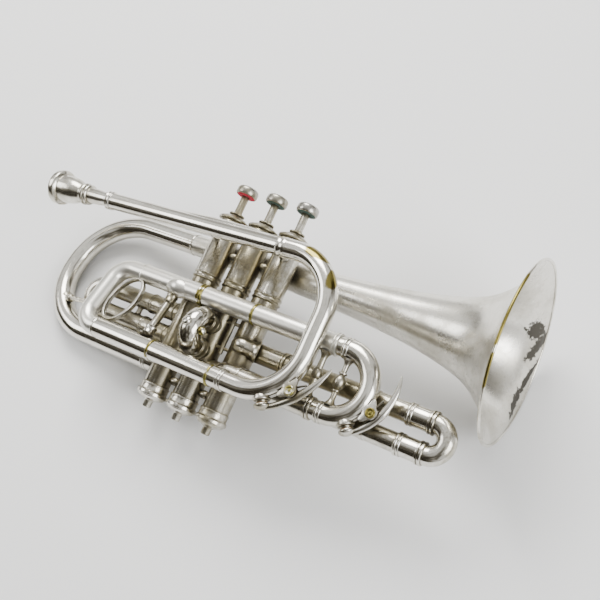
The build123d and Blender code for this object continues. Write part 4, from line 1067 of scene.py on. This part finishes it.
class CORNET_OT_water_keys(bpy.types.Operator):
    """Both water keys: saddle, nipple, cork, pivot screw and lever"""

    bl_idname = "cornet.water_keys"
    bl_label = "Water keys"

    def execute(self, context):
        front = KeyPlan("front_key", "horn", (FRONT_BOW_X - FRONT_BEND, LOWER_Y + FRONT_BEND), FRONT_BEND,
                        6.5, FRONT_Z, -61.0, -34.0, (103.5, 66.0))
        tuning = KeyPlan("tuning_key", "tuning_slide", (TUNING_BOW_X, (UPPER_Y + TUNING_Y) / 2), 21.0,
                         6.4, MIDDLE_Z, -54.0, -20.0, (140.0, 79.0))
        for plan in (front, tuning):
            self.mount(plan)
            self.lever(plan)
        return {"FINISHED"}

    def mount(self, plan):
        out = plan.outward(plan.pivot_angle)
        tangent = Vector((-out.y, out.x, 0))
        turn = Matrix((out, tangent, Vector((0, 0, 1)))).transposed().to_4x4()
        base = plan.spot(plan.pivot_angle, -0.9)
        mount = Workpiece(plan.name + "_saddle")
        for side in (-1, 1):
            ear = bmesh.new()
            bmesh.ops.create_circle(ear, segments=32, radius=2.9, cap_ends=True)
            for vert in ear.verts:
                if vert.co.x < 0.2:
                    vert.co.x = -KEY_PIVOT_RISE - 1.4
                    vert.co.y *= 1.25
            made = bmesh.ops.extrude_face_region(ear, geom=ear.faces[:])["geom"]
            bmesh.ops.translate(ear, vec=(0, 0, 1.3), verts=kept(made, BMVert))
            bmesh.ops.remove_doubles(ear, verts=ear.verts, dist=0.001)
            bmesh.ops.recalc_face_normals(ear, faces=ear.faces)
            soften(ear, 0.2)
            place = plan.spot(plan.pivot_angle, KEY_PIVOT_RISE, side * (KEY_WIDTH / 2 + 0.75) - 0.65)
            bmesh.ops.transform(ear, matrix=Matrix.Translation(place) @ turn, verts=ear.verts)
            mount.add(ear)
        star = star_plate(8.2, 4.3, 1.5, (pi, radians(112), radians(-105)))
        place = plan.spot(plan.pivot_angle, KEY_PIVOT_RISE - 0.4, KEY_WIDTH / 2 + 0.6)
        bmesh.ops.transform(star, matrix=Matrix.Translation(place) @ turn, verts=star.verts)
        mount.add(star)
        plate = bmesh.new()
        bmesh.ops.create_cube(plate, size=1.0)
        bmesh.ops.scale(plate, vec=(1.8, 8.0, KEY_WIDTH + 3.4), verts=plate.verts)
        soften(plate, 0.6)
        bmesh.ops.transform(plate, matrix=Matrix.Translation(base + out * 0.6) @ turn, verts=plate.verts)
        mount.add(plate)
        mount.add(turn_on_lathe([(-3.4, 0), (-3.4, 4.9), (-0.7, 5.5), (0.4, 5.5), (0.8, 5.0), (0.9, 3.7),
                                 (NIPPLE_RISE - 0.3, 3.5), (NIPPLE_RISE, 3.3), (NIPPLE_RISE, 1.3), (0, 1.3),
                                 (0, 0)],
                                plan.spot(plan.cup_angle, 0), plan.outward(plan.cup_angle), facets=32))
        mount.set_in_place(plan.carrier, [plan.name + "_mount"], "silver_plate", [brown_silver()])

        side = KEY_WIDTH / 2 + 1.4
        screw = Workpiece(plan.name + "_pivot")
        screw.add(turn_on_lathe(
            [(0, 0), (0, 0.8), (0.3, 1.0), (2 * side + 0.4, 1.0), (2 * side + 0.4, 2.9),
             (2 * side + 0.7, 3.2), (2 * side + 1.7, 3.2), (2 * side + 2.1, 2.9), (2 * side + 2.2, 2.2),
             (2 * side + 1.6, 1.9), (2 * side + 1.5, 1.1), (2 * side + 1.8, 0.9), (2 * side + 1.9, 0)],
            plan.spot(plan.pivot_angle, KEY_PIVOT_RISE, -side - 0.4), (0, 0, 1), facets=32, ease=0.08))
        screw.set_in_place(plan.carrier, [plan.name + "_screw"], "bare_brass", [worn_brass()], sharp=35)

    def lever(self, plan):
        pivot = plan.spot(plan.pivot_angle, KEY_PIVOT_RISE)
        out = plan.outward(plan.cup_angle)
        floor = plan.spot(plan.cup_angle, NIPPLE_RISE + CORK_THICK)
        lever = Workpiece(plan.name + "_arm")
        lever.add(turn_on_lathe([(-KEY_WIDTH / 2, 1.05), (-KEY_WIDTH / 2, 2.1), (KEY_WIDTH / 2, 2.1),
                                 (KEY_WIDTH / 2, 1.05)], pivot, (0, 0, 1), closed=True, facets=32))
        lever.add(turn_on_lathe([(0, 0), (0, 4.4), (-1.0, 4.4), (-1.0, 5.0), (-0.4, 5.2), (0.5, 5.1),
                                 (1.5, 4.3), (2.2, 2.9), (2.6, 1.2), (2.7, 0)], floor, out, facets=40))
        back = floor + out * 1.0
        middle = plan.spot(plan.pivot_angle, KEY_PIVOT_RISE + 3.9)
        tip = Vector((*plan.tip, plan.z))
        lever.add(curved_bar(back, middle, tip, 5.4, 6.2, taper=lambda share: max(
            0.05, min(0.42 + share * 1.1, sin(pi * min(1.0, 0.36 + share * 0.64)) ** 0.8))))
        lever.set_in_place(plan.name, [plan.name + "_lever"], "silver_plate",
                           [plated("key_plate", film_and_shade=0.9, polish=0.16, tone=0.82)])
        pad = Workpiece(plan.name + "_pad")
        pad.add(turn_on_lathe([(0, 0), (0, 3.9), (0.3, 4.1), (CORK_THICK, 4.35), (CORK_THICK, 0)],
                              plan.spot(plan.cup_angle, NIPPLE_RISE), out, facets=32, ease=0.1))
        pad.set_in_place(plan.name, [plan.name + "_cork"], "cork", [cork()])


class CORNET_OT_inner_works(bpy.types.Operator):
    """Give the CAD pistons, springs and guides, which stay as they are, their metal"""

    bl_idname = "cornet.inner_works"
    bl_label = "Inner works"

    def execute(self, context):
        spring = plated("spring_wire", film_and_shade=0.9, polish=0.3, tone=0.5)
        barrel = plated("piston_plate", film_and_shade=0.8, polish=0.22)
        for name, part in frame["nodes"].items():
            if name.startswith("piston") or name == "valve_guides":
                self.paint(part, barrel)
            elif "spring" in name:
                self.paint(part, spring)
        for number, x in enumerate(VALVE_X, 1):
            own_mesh(frame["nodes"][f"valve_spring_{number}"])
        return {"FINISHED"}

    def paint(self, part, material):
        for slot in part.material_slots:
            slot.material = material


# ---- stage -------------------------------------------------------------------------------------
class CORNET_OT_stage(bpy.types.Operator):
    """Pale floor, soft studio light and the camera"""

    bl_idname = "cornet.stage"
    bl_label = "Stage"

    def execute(self, context):
        setup = context.scene.cornet_stage
        self.floor(setup)
        self.world()
        self.lights()
        self.camera(setup)
        return {"FINISHED"}

    def floor(self, setup):
        bm = bmesh.new()
        bmesh.ops.create_grid(bm, x_segments=1, y_segments=1, size=3.0)
        mesh = bpy.data.meshes.new("floor")
        bm.to_mesh(mesh)
        bm.free()
        material = bpy.data.materials.new("floor_paper")
        material.use_nodes = True
        shader = material.node_tree.nodes["Principled BSDF"]
        shader.inputs["Base Color"].default_value = (*setup.floor, 1)
        shader.inputs["Roughness"].default_value = 0.75
        shader.inputs["Specular IOR Level"].default_value = 0.25
        mesh.materials.append(material)
        floor = bpy.data.objects.new("floor", mesh)
        bpy.context.scene.collection.objects.link(floor)

    def world(self):
        """A bright tent over the head of the instrument and a darker room at its foot, for the metal to
        reflect. The camera itself sees a plain pale backdrop."""
        world = bpy.data.worlds.new("studio")
        bpy.context.scene.world = world
        world.use_nodes = True
        tree = world.node_tree
        direction = node(tree, "ShaderNodeTexCoord").outputs["Generated"]
        tent = node(tree, "ShaderNodeVectorMath", operation="DOT_PRODUCT", links={0: direction},
                    values={1: Vector((-0.25, 0.55, 0.8)).normalized()}).outputs["Value"]
        side = node(tree, "ShaderNodeVectorMath", operation="DOT_PRODUCT", links={0: direction},
                    values={1: Vector((0.95, -0.1, 0.3)).normalized()}).outputs["Value"]
        tent = maths(tree, "MAXIMUM", tent, maths(tree, "SUBTRACT", side, 0.05))
        folds = node(tree, "ShaderNodeTexNoise", links={"Vector": direction},
                     values={"Scale": 2.6, "Detail": 2.0, "Roughness": 0.5}).outputs["Fac"]
        sweep = maths(tree, "ADD", maths(tree, "MULTIPLY", tent, 0.5), maths(tree, "MULTIPLY", folds, 0.7))
        ramp = node(tree, "ShaderNodeValToRGB", links={"Fac": sweep})
        stops = ramp.color_ramp.elements
        stops[0].position, stops[0].color = 0.0, (0.03, 0.026, 0.018, 1)
        stops[1].position, stops[1].color = 1.0, (1.0, 1.0, 1.0, 1)
        for position, colour in ((0.46, (0.045, 0.039, 0.028, 1)), (0.60, (0.20, 0.187, 0.158, 1)),
                                 (0.72, (1.0, 1.0, 0.985, 1))):
            stop = stops.new(position)
            stop.color = colour
        seen = node(tree, "ShaderNodeLightPath").outputs["Is Camera Ray"]
        tree.links.new(mix_colour(tree, seen, ramp.outputs["Color"], (0.72, 0.72, 0.72, 1)),
                       tree.nodes["Background"].inputs["Color"])
        tree.nodes["Background"].inputs["Strength"].default_value = 1.0

    def lights(self):
        for name, place, size, power, colour in (
                ("key_softbox", (-0.45, 0.85, 1.1), 0.8, 29.0, (1.0, 0.99, 0.97)),
                ("fill_softbox", (1.1, -0.2, 0.8), 0.7, 14.0, (0.97, 0.98, 1.0)),
                ("left_softbox", (-0.9, -0.2, 0.7), 0.5, 4.0, (1.0, 1.0, 1.0))):
            lamp = bpy.data.lights.new(name, "AREA")
            lamp.shape = "SQUARE"
            lamp.size, lamp.energy, lamp.color = size, power, colour
            holder = bpy.data.objects.new(name, lamp)
            holder.location = place
            holder.rotation_euler = (-Vector(place)).to_track_quat("-Z", "Y").to_euler()
            bpy.context.scene.collection.objects.link(holder)

    def camera(self, setup):
        eye, target = HORN @ Vector(setup.eye), HORN @ Vector(setup.target)
        back = (eye - target).normalized()
        up = HORN_TURN @ Vector(setup.head_up)
        right = up.cross(back).normalized()
        up = back.cross(right)
        lens = bpy.data.cameras.new("camera")
        lens.lens, lens.sensor_width = setup.lens, 36.0
        lens.clip_start = 0.01
        camera = bpy.data.objects.new("camera", lens)
        camera.matrix_world = Matrix.Translation(eye) @ Matrix((right, up, back)).transposed().to_4x4()
        bpy.context.scene.collection.objects.link(camera)
        bpy.context.scene.camera = camera


STEPS = (CORNET_OT_stage, CORNET_OT_leadpipe, CORNET_OT_mouthpiece, CORNET_OT_loop, CORNET_OT_valves,
         CORNET_OT_tuning_slide, CORNET_OT_valve_slides, CORNET_OT_bell, CORNET_OT_fittings,
         CORNET_OT_water_keys, CORNET_OT_inner_works)


class CORNET_PT_panel(bpy.types.Panel):
    """The cornet's steps, in the order they are built"""

    bl_label = "Cornet"
    bl_idname = "CORNET_PT_panel"
    bl_space_type = "VIEW_3D"
    bl_region_type = "UI"
    bl_category = "Cornet"

    def draw(self, context):
        for group in (context.scene.cornet_tubing, context.scene.cornet_finish, context.scene.cornet_stage):
            box = self.layout.box()
            for name in group.bl_rna.properties.keys():
                if name not in ("rna_type", "name"):
                    box.prop(group, name)
        for step in STEPS:
            self.layout.operator(step.bl_idname)


CLASSES = (CornetTubing, CornetFinish, CornetStage, *STEPS, CORNET_PT_panel)


def register():
    for made in CLASSES:
        bpy.utils.register_class(made)
    bpy.types.Scene.cornet_tubing = PointerProperty(type=CornetTubing)
    bpy.types.Scene.cornet_finish = PointerProperty(type=CornetFinish)
    bpy.types.Scene.cornet_stage = PointerProperty(type=CornetStage)


def unregister():
    for name in ("cornet_tubing", "cornet_finish", "cornet_stage"):
        delattr(bpy.types.Scene, name)
    for made in reversed(CLASSES):
        bpy.utils.unregister_class(made)


def main():
    register()
    for step in STEPS:
        group, name = step.bl_idname.split(".")
        getattr(getattr(bpy.ops, group), name)()


if __name__ == "__main__":
    main()
